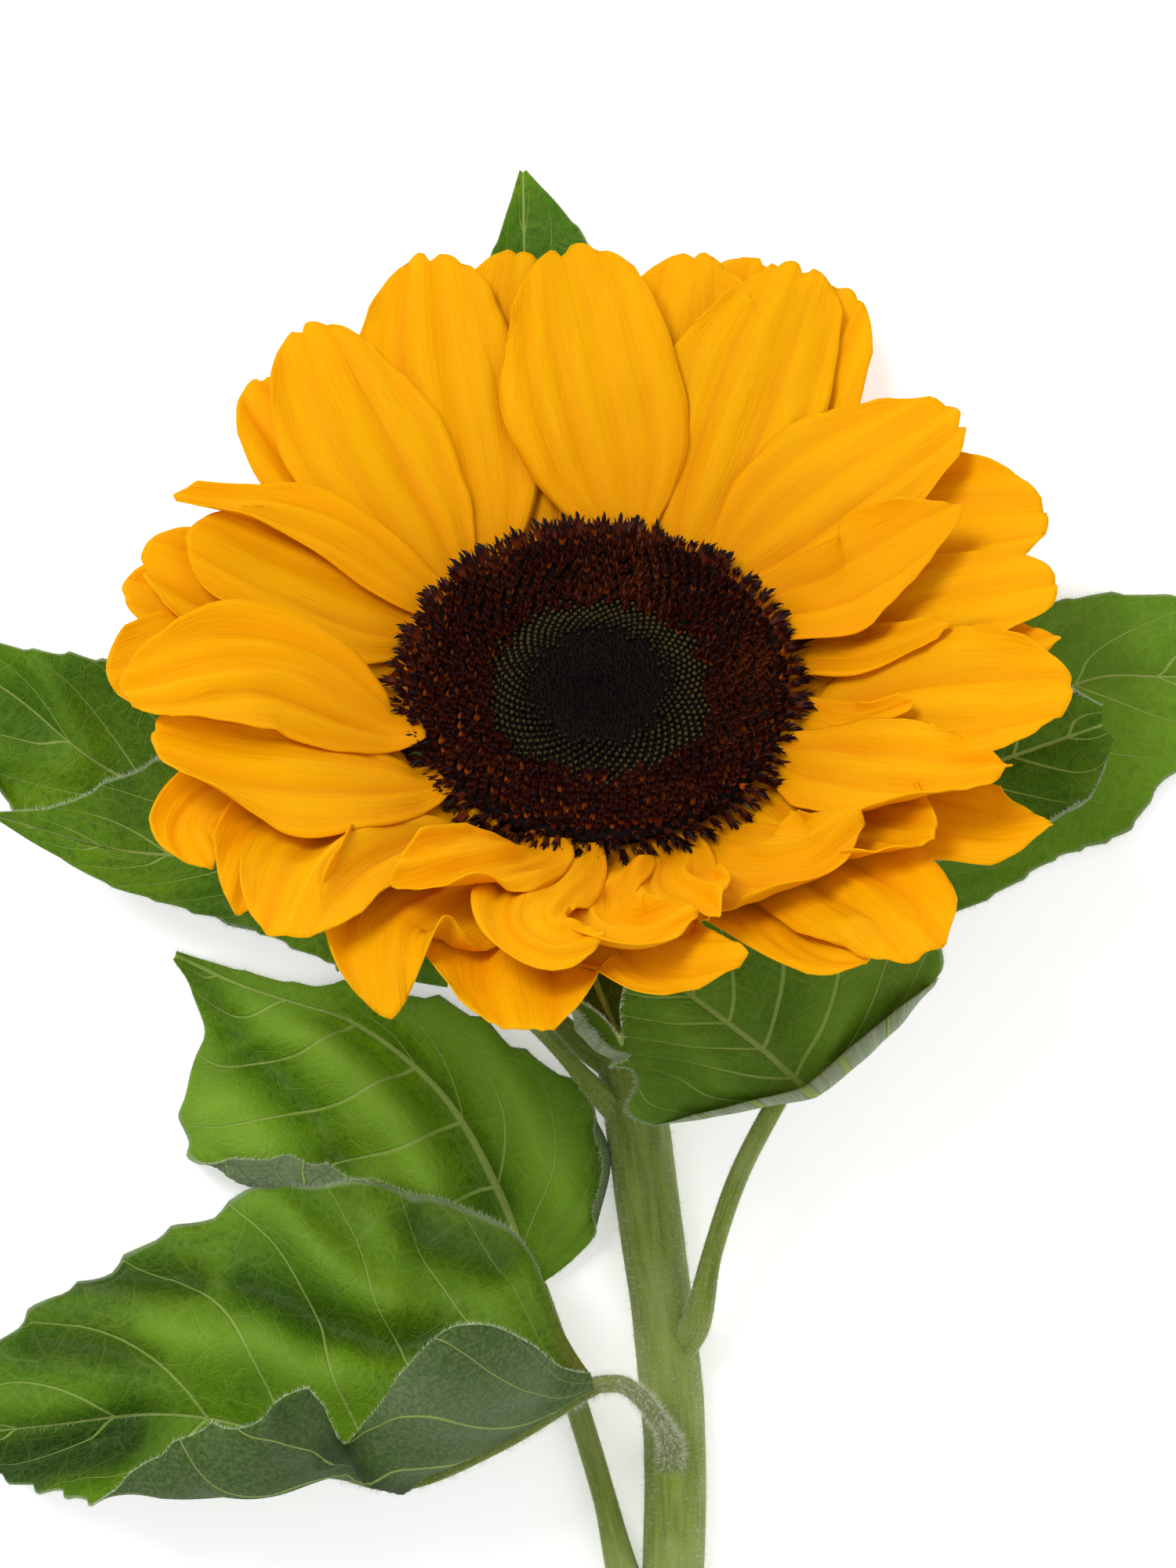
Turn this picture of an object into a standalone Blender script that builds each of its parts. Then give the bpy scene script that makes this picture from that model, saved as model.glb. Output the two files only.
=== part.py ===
"""A cut sunflower laid on a flat surface, as separate plant pieces.

World: metres, +Z up, the surface at z = 0, the head towards +Y and the cut end of the stem towards -Y.
Lengths in the tables below are millimetres and angles are degrees; MM turns them into metres.
Head frame: its origin is the middle of the disc's face, +Z leaves the face and +Y points to the top
of the head. An azimuth runs clockwise from +Y when the face is looked at.
"""

import math

import bmesh
import bpy
from mathutils import Matrix, Vector
from mathutils.bvhtree import BVHTree

MM = 0.001

# ---- driving dimensions -------------------------------------------------------------------------
ORIGIN = (3.12, 126.35)  # moves the whole plant, so that its box is centred on the world's z axis
FACE_HEIGHT = 38.0  # middle of the disc's face above the surface
FACE_TILT = 35.0  # the face leans back from straight up by this angle
DISC_RADIUS = 28.6
SEAT_RADIUS = 26.2  # the disc's neck, which the petals stand round
PETAL_ROOT_RADIUS = 26.7
RECEPTACLE_RADIUS = 28.2
BRACT_ROOT_RADIUS = 28.7
NECK_RADIUS = 6.2
STEM_END = 330.0  # from the head's middle to the cut end, along -Y
PETAL_THICKNESS = 0.5
LEAF_THICKNESS = 0.8
BRACT_THICKNESS = 1.0
CLEARANCE = 0.31  # left between two sheets where one lies on the other
FACE_GAP = 0.3  # left where two pieces grow together
DISC_BASE = -7.5  # height of the disc's underside in the head frame

PETAL_ROOT_WIDTH = 3.3
PETAL_TIP_WIDTH = 2.4
PETAL_ROOT_HEIGHT = {"deep": -7.0, "back": -5.9, "middle": -4.8, "front": -3.7}
PETAL_STATIONS = (0.0, 0.1, 0.27, 0.47, 0.66, 0.84, 1.0)
PETAL_ACROSS = 5
PETAL_OUTLINE = [(0, 0), (0.1, 0.12), (0.27, 0.76), (0.47, 0.98), (0.66, 1), (0.84, 0.84), (1, 0.14)]

# Each petal: the row it stands in, the azimuth of its root, the points that its middle line passes
# through as (azimuth, radius, height), its greatest width, and how far its edges stand above its middle.
# They are listed from the ones underneath to the ones on top.
PETALS = [
    ("deep", 24, [(20, 58, 2), (18, 79, 7)], 17.5, 0.3),
    ("deep", 97, [(90, 48.5, 4), (90, 67, 10)], 14.5, 0.4),
    ("deep", 149, [(149, 48, 3), (147.5, 60, 6.5), (144, 66, 9)], 14.5, 0.4),
    ("deep", -81, [(-79.5, 53, 2.5), (-81, 70.5, 7.5)], 17.5, 0.4),
    ("deep", -128, [(-119, 44, 3), (-114.5, 58, 5.5), (-119, 66, 7.5), (-126, 67.5, 8.5)], 11.5, 0.2),
    ("back", 15, [(12, 55, 3), (10.5, 77, 8)], 22.5, 0.4),
    ("back", 34, [(31, 56, 3), (30, 78, 8)], 16.5, 0.4),
    ("back", 59, [(62, 52, 3.5), (70.5, 70.5, 9)], 21.5, 0.3),
    ("back", 84, [(81, 48, 3.5), (83, 67.5, 9)], 15.5, 0.5),
    ("back", 114, [(119.5, 50, 3), (119, 63.6, 6), (116, 71.4, 8.5)], 15.5, 0.3),
    ("back", 140, [(138.5, 58, 3.5), (141, 71.8, 8)], 18, 0.3),
    ("back", -172, [(-167.5, 52, 5), (-172, 68.5, 11)], 22.5, 0.7),
    ("back", -138, [(-128, 44.5, 2), (-126.5, 57, 4), (-130, 64, 5.5), (-133, 69, 5)], 13, 0.3),
    ("back", -92, [(-90, 53, 3), (-96, 70.5, 8)], 16.5, 0.4),
    ("back", -71, [(-77.5, 51, 4), (-77, 68.5, 10)], 18.5, 0.3),
    ("back", -54, [(-48.5, 55.5, 2), (-45.5, 73.8, 6)], 14.5, 0.3),
    ("back", -14, [(-13, 55, 3), (-9, 76, 9)], 16.5, 0.3),
    ("middle", -33, [(-25, 56.5, 5), (-19.5, 77.4, 10.5)], 23.5, 0.8),
    ("middle", -46, [(-41.5, 53, 4.5), (-36.5, 74, 10)], 20.5, 0.7),
    ("middle", 25, [(24, 54.5, 4.5), (23.5, 77.5, 10.5)], 22.5, 0.8),
    ("middle", 41, [(48, 49.5, 3.8), (52.5, 68, 10.5)], 22, 0.6),
    ("middle", 105, [(102, 42.5, 2), (101, 57, 6.5), (100.5, 69, 10.5)], 22.5, 0.7),
    ("middle", 124, [(128.5, 45, 3), (128.5, 54, 7), (127.5, 60, 11)], 16.5, 0.8),
    ("middle", 174, [(174.5, 43, 1.5), (170, 54, 6.5), (159.5, 60, 11)], 15.5, 0.7),
    ("middle", -156, [(-150, 44.5, 3), (-147.5, 55.5, 6.5), (-150, 62, 7), (-154.5, 68.5, 3.5)], 23, 0.5),
    ("middle", -141, [(-135, 41.5, 2), (-136, 54, 6), (-142, 70, 9.5)], 20.5, 0.6),
    ("middle", -124, [(-117, 47.5, 4), (-108.8, 67, 10.5)], 21.5, 0.7),
    ("middle", 149, [(148.5, 41.5, 3), (141, 47.5, 7.5), (131.5, 50, 12.5)], 15.5, 1.0),
    ("middle", -66, [(-72, 48.5, 4.5), (-74, 63, 11.5)], 20.5, 0.8),
    ("middle", 77, [(85, 39, 0.5), (86.5, 51, 7)], 9, 0.4),
    ("front", 6, [(-1, 51, 5.5), (-4.5, 74, 12)], 26.5, 1.5),
    ("front", 60, [(69, 39.5, 5), (70, 57, 14.5)], 17.5, 1.2),
    ("front", 99, [(104.5, 38.5, 2), (103, 46, 8)], 5.5, 0.6),
    ("front", 115, [(119, 44, 4.5), (118.5, 55, 9), (116, 65.5, 13)], 16.5, 1.0),
    ("front", 159, [(164, 38.5, 1), (163, 45.5, 6.5), (161.5, 54, 12)], 9, 0.9),
    ("front", 173, [(-178.5, 39.5, 3), (180, 48, 9), (173.5, 52.5, 12), (164.5, 52, 14)], 9, 0.9),
    ("front", -174, [(-168, 45, 6), (-169, 52, 10.5), (-174, 55.5, 12.5), (-181, 54, 13.5)], 11, 0.9),
    ("front", -165, [(-159.5, 39, 3), (-153, 46.5, 8.5), (-148, 53.5, 12.5)], 12, 1.2),
    ("front", -106, [(-98.5, 48.5, 5.5), (-102.8, 69, 12.5)], 20.5, 1.2),
    ("front", -55, [(-59.5, 49, 5.5), (-70, 66.5, 13.5)], 11, 0.9),
]

BRACT_COUNT = 9
BRACT_LINE = [(0, BRACT_ROOT_RADIUS, -9.6), (2, 44, -5.4), (-3, 61, -2.2)]  # (turn, radius, height)
BRACT_CUP = 0.6
BRACT_STATIONS = (0.0, 0.15, 0.35, 0.58, 0.8, 1.0)
BRACT_ACROSS = 5
BRACT_WIDTH = 17.0
BRACT_OUTLINE = [(0, 0.4), (0.15, 0.75), (0.35, 1), (0.58, 0.78), (0.8, 0.36), (1, 0.1)]

# Radius and height of the disc's and the receptacle's turned profiles, from the axis underneath,
# out, and back to the axis on top.
DISC_PROFILE = [
    (0, DISC_BASE), (SEAT_RADIUS, DISC_BASE), (SEAT_RADIUS, -2.4), (27.9, -1.5), (DISC_RADIUS, -0.8),
    (28.1, 0.1), (26.8, 0.3), (23, -0.8), (19, -2.0), (16, -2.3), (12, -1.4), (8, -0.6), (4, -0.15), (0, 0),
]
RECEPTACLE_PROFILE = [
    (0, -25), (NECK_RADIUS, -25), (8.5, -22.6), (13, -19.4), (20, -15.6), (25.5, -12),
    (RECEPTACLE_RADIUS, -9.6), (27.8, -8.2), (27, DISC_BASE - FACE_GAP), (0, DISC_BASE - FACE_GAP),
]
TURNED_SIDES = 32
MERGE_DISTANCE = 0.00001
CREASE_ANGLE = 45.0  # a sharper edge than this is shaded as an edge

# The stem's middle line, from the head to the cut end, with its radius at each point. Where its height is 0
# it lies on the surface.
STEM_PATH = [
    (0.0, -14.53, 17.25, NECK_RADIUS), (0.1, -17.2, 13.5, 6.1), (0.6, -22.5, 9.5, 5.9), (1.6, -31, 6.9, 5.6),
    (3.2, -44, 5.4, 5.2), (5.1, -60.5, 0, 4.9), (8.1, -83, 0, 4.8), (10.9, -104, 0, 4.8),
    (11.9, -120, 0, 4.8), (11.3, -140, 0, 4.8), (9.0, -175, 0, 4.9), (6.5, -220, 0, 4.9),
    (5.2, -270, 0, 5.0), (5.0, -STEM_END, 0, 5.0),
]
STEM_SIDES = 14
STEM_RINGS = 30
STEM_REST_GAP = 0.02
CUT_SLANT = 25.0

PETIOLE_FLAT = 0.92  # how far across its width the petiole's upper and lower faces meet
LEAF_HALF_ACROSS = 4
LEAF_STATIONS = (0.0, 0.06, 0.16, 0.28, 0.4, 0.52, 0.64, 0.76, 0.88, 1.0)
PETIOLE_STATIONS = (0.0, 0.25, 0.5, 0.75, 0.93)

# Each leaf: the petiole's line from the stem to the blade, its radius, the blade's midrib from base to
# tip, the width of each half of the blade along it as (place, width), the sweep of its ribs (positive
# leans back to the base), and how each half bends as (place, first angle, turn to the margin).
LEAVES = {
    "leaf_under_head": dict(
        petiole=[(-5.6, -37, 4.0), (-9, -33, 2.4), (-11, -26, 1.5)],
        radius=1.2,
        midrib=[(-11, -26, 1.3), (-11, 0, 0.9), (-11, 40, 0.8), (-11.5, 79, 0.8)],
        left=[(0, 4), (0.1, 8), (0.25, 21), (0.45, 24), (0.7, 15), (0.87, 8), (1, 1)],
        right=[(0, 5), (0.1, 9), (0.25, 21), (0.45, 25), (0.7, 18), (0.87, 10), (1, 1)],
        sweep=[(0, 30), (0.2, 0), (1, -35)],
        left_bend=[(0, 2, 4), (1, 2, 4)],
        right_bend=[(0, 2, 4), (1, 2, 4)],
    ),
    "leaf_left_low": dict(
        petiole=[(-3.4, -54, 4.2), (-12, -46, 2.6), (-24, -33, 1.4)],
        radius=1.4,
        midrib=[
            (-24, -33, 1.4), (-36, -28, 1.2), (-56, -22, 1.2), (-75, -13, 1.2), (-92, 0, 1.8),
            (-113, 11, 3.0),
        ],
        left=[(0, 8), (0.15, 14), (0.4, 14), (0.6, 14), (0.8, 13), (1, 1)],
        right=[(0, 14), (0.15, 26), (0.35, 27), (0.6, 18), (0.8, 7), (1, 1)],
        sweep=[(0, 30), (0.2, 0), (1, -30)],
        left_bend=[(0, 0, 4), (1, 0, 20)],
        right_bend=[(0, 4, 8), (1, 4, 10)],
    ),
    "leaf_right_low": dict(
        petiole=[(11.4, -51.0, 4.4), (19, -46.5, 3.0), (32, -38, 1.6)],
        radius=1.4,
        midrib=[(32, -38, 1.6), (48, -24, 1.8), (61, -7, 2.4), (76, 1, 3.0), (90, 1.5, 2.6), (107, 5, 2.4)],
        left=[(0, 10), (0.2, 22), (0.45, 20), (0.62, 13), (0.82, 12), (1, 1)],
        right=[(0, 5), (0.15, 10), (0.35, 18), (0.55, 26), (0.75, 20), (0.88, 10), (1, 1)],
        sweep=[(0, 30), (0.3, 0), (0.6, -5), (1, -30)],
        left_bend=[(0, 4, 4), (0.6, 14, -10), (1, 8, 0)],
        right_bend=[(0, -2, 4), (1, -4, 6)],
    ),
    "leaf_lower_left_low": dict(
        petiole=[(4.9, -139, 5.0), (0.9, -124, 4.0), (-4, -108, 3.4), (-10, -91, 3.2)],
        radius=1.8,
        midrib=[(-10, -91, 3.2), (-15, -78, 5), (-24, -63, 6), (-38, -51, 4), (-65, -41.5, 1.2)],
        left=[(0, 8), (0.15, 30), (0.35, 38), (0.6, 27), (0.8, 13), (0.9, 6), (1, 1)],
        right=[(0, 6), (0.15, 14), (0.27, 17), (0.38, 13), (0.53, 9), (0.65, 6), (0.85, 3), (1, 1)],
        sweep=[(0, 32), (0.2, 12), (0.5, -8), (1, -35)],
        left_bend=[(0, 4, -8), (0.5, 14, -34), (1, 2, -10)],
        right_bend=[(0, 6, -12), (0.5, 12, -30), (1, 2, -8)],
    ),
    "leaf_left_raised": dict(
        petiole=[(-0.6, -61.4, 9.4), (-9, -52, 12.5), (-22, -40, 16)],
        radius=1.2,
        midrib=[(-22, -40, 16), (-38, -30, 19), (-54.5, -26.5, 20), (-72, -25, 19), (-91, -20, 16)],
        left=[(0, 6), (0.25, 12), (0.5, 9.5), (0.75, 5.5), (1, 1)],
        right=[(0, 6), (0.25, 15), (0.5, 17), (0.68, 12), (0.85, 4.5), (1, 1)],
        sweep=[(0, 25), (0.2, 0), (1, -30)],
        left_bend=[(0, -10, -10), (1, -30, -10)],
        right_bend=[(0, 4, 8), (1, 4, 8)],
    ),
    "leaf_front_folded": dict(
        petiole=[(11.0, -115, 11.5), (8.6, -110, 17.5), (4, -105, 22), (-1, -104.6, 24.5)],
        radius=2.0,
        midrib=[
            (-1, -104.6, 24.5), (-15, -113, 26), (-30, -119, 25), (-53, -116, 20), (-75, -115, 16),
            (-97, -111, 14),
        ],
        left=[(0, 14), (0.15, 32), (0.35, 40), (0.6, 34), (0.85, 16), (1, 1)],
        right=[(0, 10), (0.15, 33), (0.35, 43), (0.45, 42), (0.56, 37), (0.7, 28), (0.85, 17), (1, 1)],
        sweep=[(0, 20), (0.25, 0), (0.6, -12), (1, -30)],
        left_bend=[(0, 80, 40), (0.25, 85, 60), (0.55, 80, 50), (0.8, 70, 30), (1, 30, 10)],
        right_bend=[(0, 10, -50), (0.5, 0, -40), (1, 0, -20)],
    ),
    "leaf_under_petals": dict(
        petiole=[
            (14.9, -97, 10.0), (17.2, -86, 15.5), (21, -73.5, 23), (26.4, -62, 29.5), (28.5, -58.3, 31),
        ],
        radius=1.5,
        midrib=[(28.5, -58.3, 31), (25, -55, 32.5), (12.3, -45.3, 34), (-5, -33, 32)],
        left=[(0, 11), (0.14, 16), (0.27, 19), (0.5, 12), (0.75, 9), (1, 1.5)],
        right=[(0, 15), (0.08, 26), (0.16, 28), (0.32, 20), (0.5, 12), (0.8, 7), (1, 1.5)],
        sweep=[(0, 33), (0.08, 24), (0.25, 6), (0.5, -5), (1, -30)],
        left_bend=[(0, -6, -10), (1, -4, -8)],
        right_bend=[(0, -4, -8), (1, -4, -8)],
    ),
    "leaf_right_small": dict(
        petiole=[(7.4, -27.5, 13.0), (13, -26.5, 18), (20, -24.5, 24)],
        radius=1.1,
        midrib=[(20, -24.5, 24), (36, -20.5, 31), (54, -13.5, 36.5), (73.5, -6.5, 39)],
        left=[(0, 4), (0.25, 9), (0.55, 11), (0.85, 9.5), (1, 3)],
        right=[(0, 4), (0.25, 9), (0.55, 11), (0.85, 9.5), (1, 3)],
        sweep=[(0, 15), (0.4, 0), (1, -20)],
        left_bend=[(0, 4, 6), (1, 4, 6)],
        right_bend=[(0, 4, 6), (1, 4, 6)],
    ),
}
LEAVES_UNDER_PETALS = ("leaf_under_head", "leaf_right_small")

# How a sheet is laid over the pieces beneath it.
SETTLE_PASSES = 24
SMOOTH_PASSES = 30
SETTLE_ERROR = 0.01
BEYOND = 500.0  # a height above and below everything
SPOTS_ON_TRIANGLE = ((1, 0, 0), (0.5, 0.5, 0), (0, 0.5, 0.5), (0.5, 0, 0.5), (0.34, 0.33, 0.33))
SPOTS_ON_EDGE = (0.0, 0.25, 0.5, 0.75)

COLOURS = {
    "petal": ((1.0, 0.46, 0.002, 1), 0.5),
    "disc": ((0.035, 0.01, 0.008, 1), 0.8),
    "green": ((0.10, 0.19, 0.03, 1), 0.55),
    "leaf": ((0.09, 0.2, 0.025, 1), 0.5),
    "stem": ((0.24, 0.32, 0.1, 1), 0.6),
}


# ---- curves and tables ----------------------------------------------------------------------------
def along(points, place):
    """The point at a place from 0 to 1 of a smooth curve through all the points."""
    lengths = [0.0]
    for first, second in zip(points, points[1:]):
        lengths.append(lengths[-1] + (second - first).length)
    knots = [length / lengths[-1] for length in lengths]
    k = 0
    while k < len(points) - 2 and place > knots[k + 1]:
        k += 1

    def slope(i):
        before, after = max(i - 1, 0), min(i + 1, len(points) - 1)
        return (points[after] - points[before]) / (knots[after] - knots[before])

    span = knots[k + 1] - knots[k]
    u = (place - knots[k]) / span
    ahead = u * u * (3 - 2 * u)
    leave = u * (1 - u) * (1 - u) * span
    arrive = u * u * (u - 1) * span
    return points[k] * (1 - ahead) + points[k + 1] * ahead + slope(k) * leave + slope(k + 1) * arrive


def read(table, place, column=1):
    """A value between two lines of a table; its first column is the place."""
    for before, after in zip(table, table[1:]):
        if place <= after[0]:
            u = (place - before[0]) / (after[0] - before[0])
            return before[column] + (after[column] - before[column]) * u
    return table[-1][column]


def tangent(points, place):
    step = 0.01
    return (along(points, min(place + step, 1)) - along(points, max(place - step, 0))).normalized()


def polar(azimuth, radius, height):
    angle = math.radians(azimuth)
    return Vector((radius * math.sin(angle), radius * math.cos(angle), height))


# ---- sheets: rows of points across a petal, bract or leaf --------------------------------------------
def petal_rows(row, root, line, width, cup):
    """Rows of (point, thickness) from a petal's root to its tip, in the head frame."""
    height = PETAL_ROOT_HEIGHT[row]
    points = [polar(root, PETAL_ROOT_RADIUS, height), polar(root, PETAL_ROOT_RADIUS + 5, height + 0.5)]
    points += [polar(*place) for place in line]
    rows = []
    for place in PETAL_STATIONS:
        middle = along(points, place)
        across = tangent(points, place).cross(Vector((0, 0, 1))).normalized()
        ends = PETAL_ROOT_WIDTH + (PETAL_TIP_WIDTH - PETAL_ROOT_WIDTH) * place
        half = (ends + (width - ends) * read(PETAL_OUTLINE, place)) / 2
        lift = cup * math.sin(math.pi * min(place * 1.3, 1) / 2)
        points_across = []
        for j in range(PETAL_ACROSS):
            s = 2 * j / (PETAL_ACROSS - 1) - 1
            point = middle + across * s * half + Vector((0, 0, lift * (s * s - 0.3)))
            points_across.append((point, PETAL_THICKNESS))
        rows.append(points_across)
    return rows


def bract_rows(index):
    """Rows of (point, thickness) of one pointed green bract behind the petals, in the head frame."""
    azimuth = 360 / BRACT_COUNT * (index + 0.5)
    points = [polar(azimuth + turn, radius, height) for turn, radius, height in BRACT_LINE]
    rows = []
    for place in BRACT_STATIONS:
        middle = along(points, place)
        across = tangent(points, place).cross(Vector((0, 0, 1))).normalized()
        half = BRACT_WIDTH * read(BRACT_OUTLINE, place) / 2
        points_across = []
        for j in range(BRACT_ACROSS):
            s = 2 * j / (BRACT_ACROSS - 1) - 1
            drop = (1 - math.sqrt(1 - (s * half / RECEPTACLE_RADIUS) ** 2)) * RECEPTACLE_RADIUS * (1 - place)
            outwards = middle.xy.normalized() * drop
            point = middle + across * s * half - Vector((outwards.x, outwards.y, -BRACT_CUP * s * s))
            points_across.append((point, BRACT_THICKNESS))
        rows.append(points_across)
    return rows


def half_blade(middle, side, up, width, first, turn, steps):
    """Points from beside the midrib to the margin, along an arc that starts at an angle and turns on."""
    points = []
    point = middle.copy()
    for step in range(steps):
        angle = math.radians(first + turn * (step + 0.5) / steps)
        point = point + (side * math.cos(angle) + up * math.sin(angle)) * (width / steps)
        points.append(point.copy())
    return points


def leaf_rows(leaf):
    """Rows of (point, thickness) from a petiole's foot to the leaf's tip, in the plant's frame."""
    across_count = 2 * LEAF_HALF_ACROSS + 1
    petiole = [Vector(point) for point in leaf["petiole"]]
    rows = []
    for place in PETIOLE_STATIONS:
        middle = along(petiole, place)
        across = tangent(petiole, place).cross(Vector((0, 0, 1))).normalized()
        points_across = []
        for j in range(across_count):
            s = PETIOLE_FLAT * (2 * j / (across_count - 1) - 1)
            depth = 2 * leaf["radius"] * math.sqrt(1 - s * s)
            points_across.append((middle + across * s * leaf["radius"], depth))
        rows.append(points_across)
    midrib = [Vector(point) for point in leaf["midrib"]]
    for place in LEAF_STATIONS:
        middle = along(midrib, place)
        ahead = tangent(midrib, place)
        right = ahead.cross(Vector((0, 0, 1))).normalized()
        up = right.cross(ahead).normalized()
        sweep = math.radians(read(leaf["sweep"], place))
        halves = []
        for sign, half, bend in ((-1, "left", "left_bend"), (1, "right", "right_bend")):
            side = right * sign * math.cos(sweep) - ahead * math.sin(sweep)
            width = read(leaf[half], place)
            first, turn = read(leaf[bend], place, 1), read(leaf[bend], place, 2)
            halves.append(half_blade(middle, side, up, width, first, turn, LEAF_HALF_ACROSS))
        line = halves[0][::-1] + [middle] + halves[1]
        rib = 2 * LEAF_THICKNESS * (1 - 0.5 * place)
        rows.append([(p, rib if j == LEAF_HALF_ACROSS else LEAF_THICKNESS) for j, p in enumerate(line)])
    return rows


# ---- skins: a closed surface round a sheet ---------------------------------------------------------
def skin(rows):
    """Points and triangles of the closed solid that a sheet and its thickness make."""
    count = len(rows[0])
    points = []
    for i, row in enumerate(rows):
        before, after = rows[max(i - 1, 0)], rows[min(i + 1, len(rows) - 1)]
        upper, lower = [], []
        for j, (point, thickness) in enumerate(row):
            ahead = after[j][0] - before[j][0]
            aside = row[min(j + 1, count - 1)][0] - row[max(j - 1, 0)][0]
            normal = aside.cross(ahead).normalized()
            upper.append(point + normal * thickness / 2)
            lower.append(point - normal * thickness / 2)
        points += upper + lower[::-1]
    ring = 2 * count
    triangles = []
    for i in range(len(rows) - 1):
        for k in range(ring):
            a, b = i * ring + k, i * ring + (k + 1) % ring
            c, d = b + ring, a + ring
            triangles += [(a, b, c), (a, c, d)] if k % 2 else [(a, b, d), (b, c, d)]
    last = (len(rows) - 1) * ring
    for j in range(count - 1):
        a, b, c, d = j, j + 1, ring - 2 - j, ring - 1 - j
        triangles += [(a, c, b), (a, d, c)]
        triangles += [(last + a, last + b, last + c), (last + a, last + c, last + d)]
    return points, triangles


def edge_samples(points, triangles):
    """Points spread over a skin: its corners, and more on each edge."""
    samples = {}
    for triangle in triangles:
        for a, b in zip(triangle, triangle[1:] + triangle[:1]):
            if a < b or (b, a) not in samples:
                samples[a, b] = [points[a].lerp(points[b], part) for part in SPOTS_ON_EDGE]
    return [sample for group in samples.values() for sample in group]


class Pile:
    """The pieces already in place, which the next sheet is laid over."""

    def __init__(self):
        self.points, self.triangles, self.samples = [], [], []
        self.tree = None

    def add(self, points, triangles):
        start = len(self.points)
        self.points += points
        self.triangles += [tuple(start + corner for corner in triangle) for triangle in triangles]
        self.samples += edge_samples(points, triangles)
        self.tree = BVHTree.FromPolygons(self.points, self.triangles)

    def top(self, point):
        """Height of the uppermost surface above or below a point, or None."""
        if self.tree is None:
            return None
        hit = self.tree.ray_cast(Vector((point.x, point.y, BEYOND)), Vector((0, 0, -1)))[0]
        return None if hit is None else hit.z


def shortfall(points, triangles, count, pile, ground):
    """How much higher each point of a sheet must be to clear the ground and the pile, by (row, column)."""
    short = {}

    def ask(corners, amount):
        for corner in corners:
            i, k = divmod(corner, 2 * count)
            place = (i, k if k < count else 2 * count - 1 - k)
            short[place] = max(short.get(place, 0.0), amount)

    for a, b, c in triangles:
        for u, v, w in SPOTS_ON_TRIANGLE:
            sample = points[a] * u + points[b] * v + points[c] * w
            height = ground(sample)
            over = pile.top(sample)
            if over is not None:
                height = max(height, over + CLEARANCE)
            if sample.z < height - SETTLE_ERROR:
                ask((a, b, c), height - sample.z)
    tree = BVHTree.FromPolygons(points, triangles)
    low = Vector([min(point[axis] for point in points) for axis in range(3)])
    high = Vector([max(point[axis] for point in points) for axis in range(3)])
    for sample in pile.samples:
        if not (low.x < sample.x < high.x and low.y < sample.y < high.y and sample.z > low.z - CLEARANCE):
            continue
        hit, _, index, _ = tree.ray_cast(Vector((sample.x, sample.y, -BEYOND)), Vector((0, 0, 1)))
        if hit is not None and hit.z < sample.z + CLEARANCE - SETTLE_ERROR:
            ask(triangles[index], sample.z + CLEARANCE - hit.z)
    return short


def smoothed(floor, fixed):
    """Lifts that are nowhere under the floor's and change gently from point to point."""
    lift = [row[:] for row in floor]
    last_row, last_column = len(floor) - 1, len(floor[0]) - 1
    for _ in range(SMOOTH_PASSES):
        for i in range(fixed, last_row + 1):
            for j in range(last_column + 1):
                near = lift[i - 1][j] + lift[min(i + 1, last_row)][j]
                near += lift[i][max(j - 1, 0)] + lift[i][min(j + 1, last_column)]
                lift[i][j] = max(floor[i][j], near / 4)
    return lift


def settle(rows, pile, ground, fixed):
    """Lifts a sheet until it lies clear over the pile and the ground; its first rows keep their place."""
    count = len(rows[0])
    lift = [[0.0] * count for _ in rows]
    lifted = rows
    for _ in range(SETTLE_PASSES):
        short = shortfall(*skin(lifted), count, pile, ground)
        asked = {place: amount for place, amount in short.items() if place[0] >= fixed}
        if not asked:
            break
        for (i, j), amount in asked.items():
            lift[i][j] += amount
        lift = smoothed(lift, fixed)
        lifted = [
            [(point + Vector((0, 0, up)), thickness) for (point, thickness), up in zip(row, ups)]
            for row, ups in zip(rows, lift)
        ]
    return lifted


# ---- objects ---------------------------------------------------------------------------------------
def clear_scene():
    for obj in list(bpy.data.objects):
        bpy.data.objects.remove(obj, do_unlink=True)


def material(name):
    colour, roughness = COLOURS[name]
    made = bpy.data.materials.new(name)
    made.use_nodes = True
    shader = made.node_tree.nodes["Principled BSDF"]
    shader.inputs["Base Color"].default_value = colour
    shader.inputs["Roughness"].default_value = roughness
    shader.inputs["Metallic"].default_value = 0.0
    return made


def placed(name, builder, finish, parent):
    """Turns a finished bmesh into one named piece, in its parent's frame."""
    bmesh.ops.recalc_face_normals(builder, faces=builder.faces)
    mesh = bpy.data.meshes.new(name)
    builder.to_mesh(mesh)
    builder.free()
    mesh.materials.append(finish)
    mesh.shade_smooth()
    mesh.set_sharp_from_angle(angle=math.radians(CREASE_ANGLE))
    obj = bpy.data.objects.new(name, mesh)
    obj.parent = parent
    bpy.context.scene.collection.objects.link(obj)
    return obj


def solid(name, points, triangles, finish, parent):
    """One closed piece from its points and triangles, in its parent's frame."""
    builder = bmesh.new()
    corners = [builder.verts.new(point * MM) for point in points]
    for triangle in triangles:
        builder.faces.new([corners[corner] for corner in triangle])
    return placed(name, builder, finish, parent)


def empty_frame(name, parent=None):
    empty = bpy.data.objects.new(name, None)
    empty.parent = parent
    bpy.context.scene.collection.objects.link(empty)
    return empty


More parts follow.
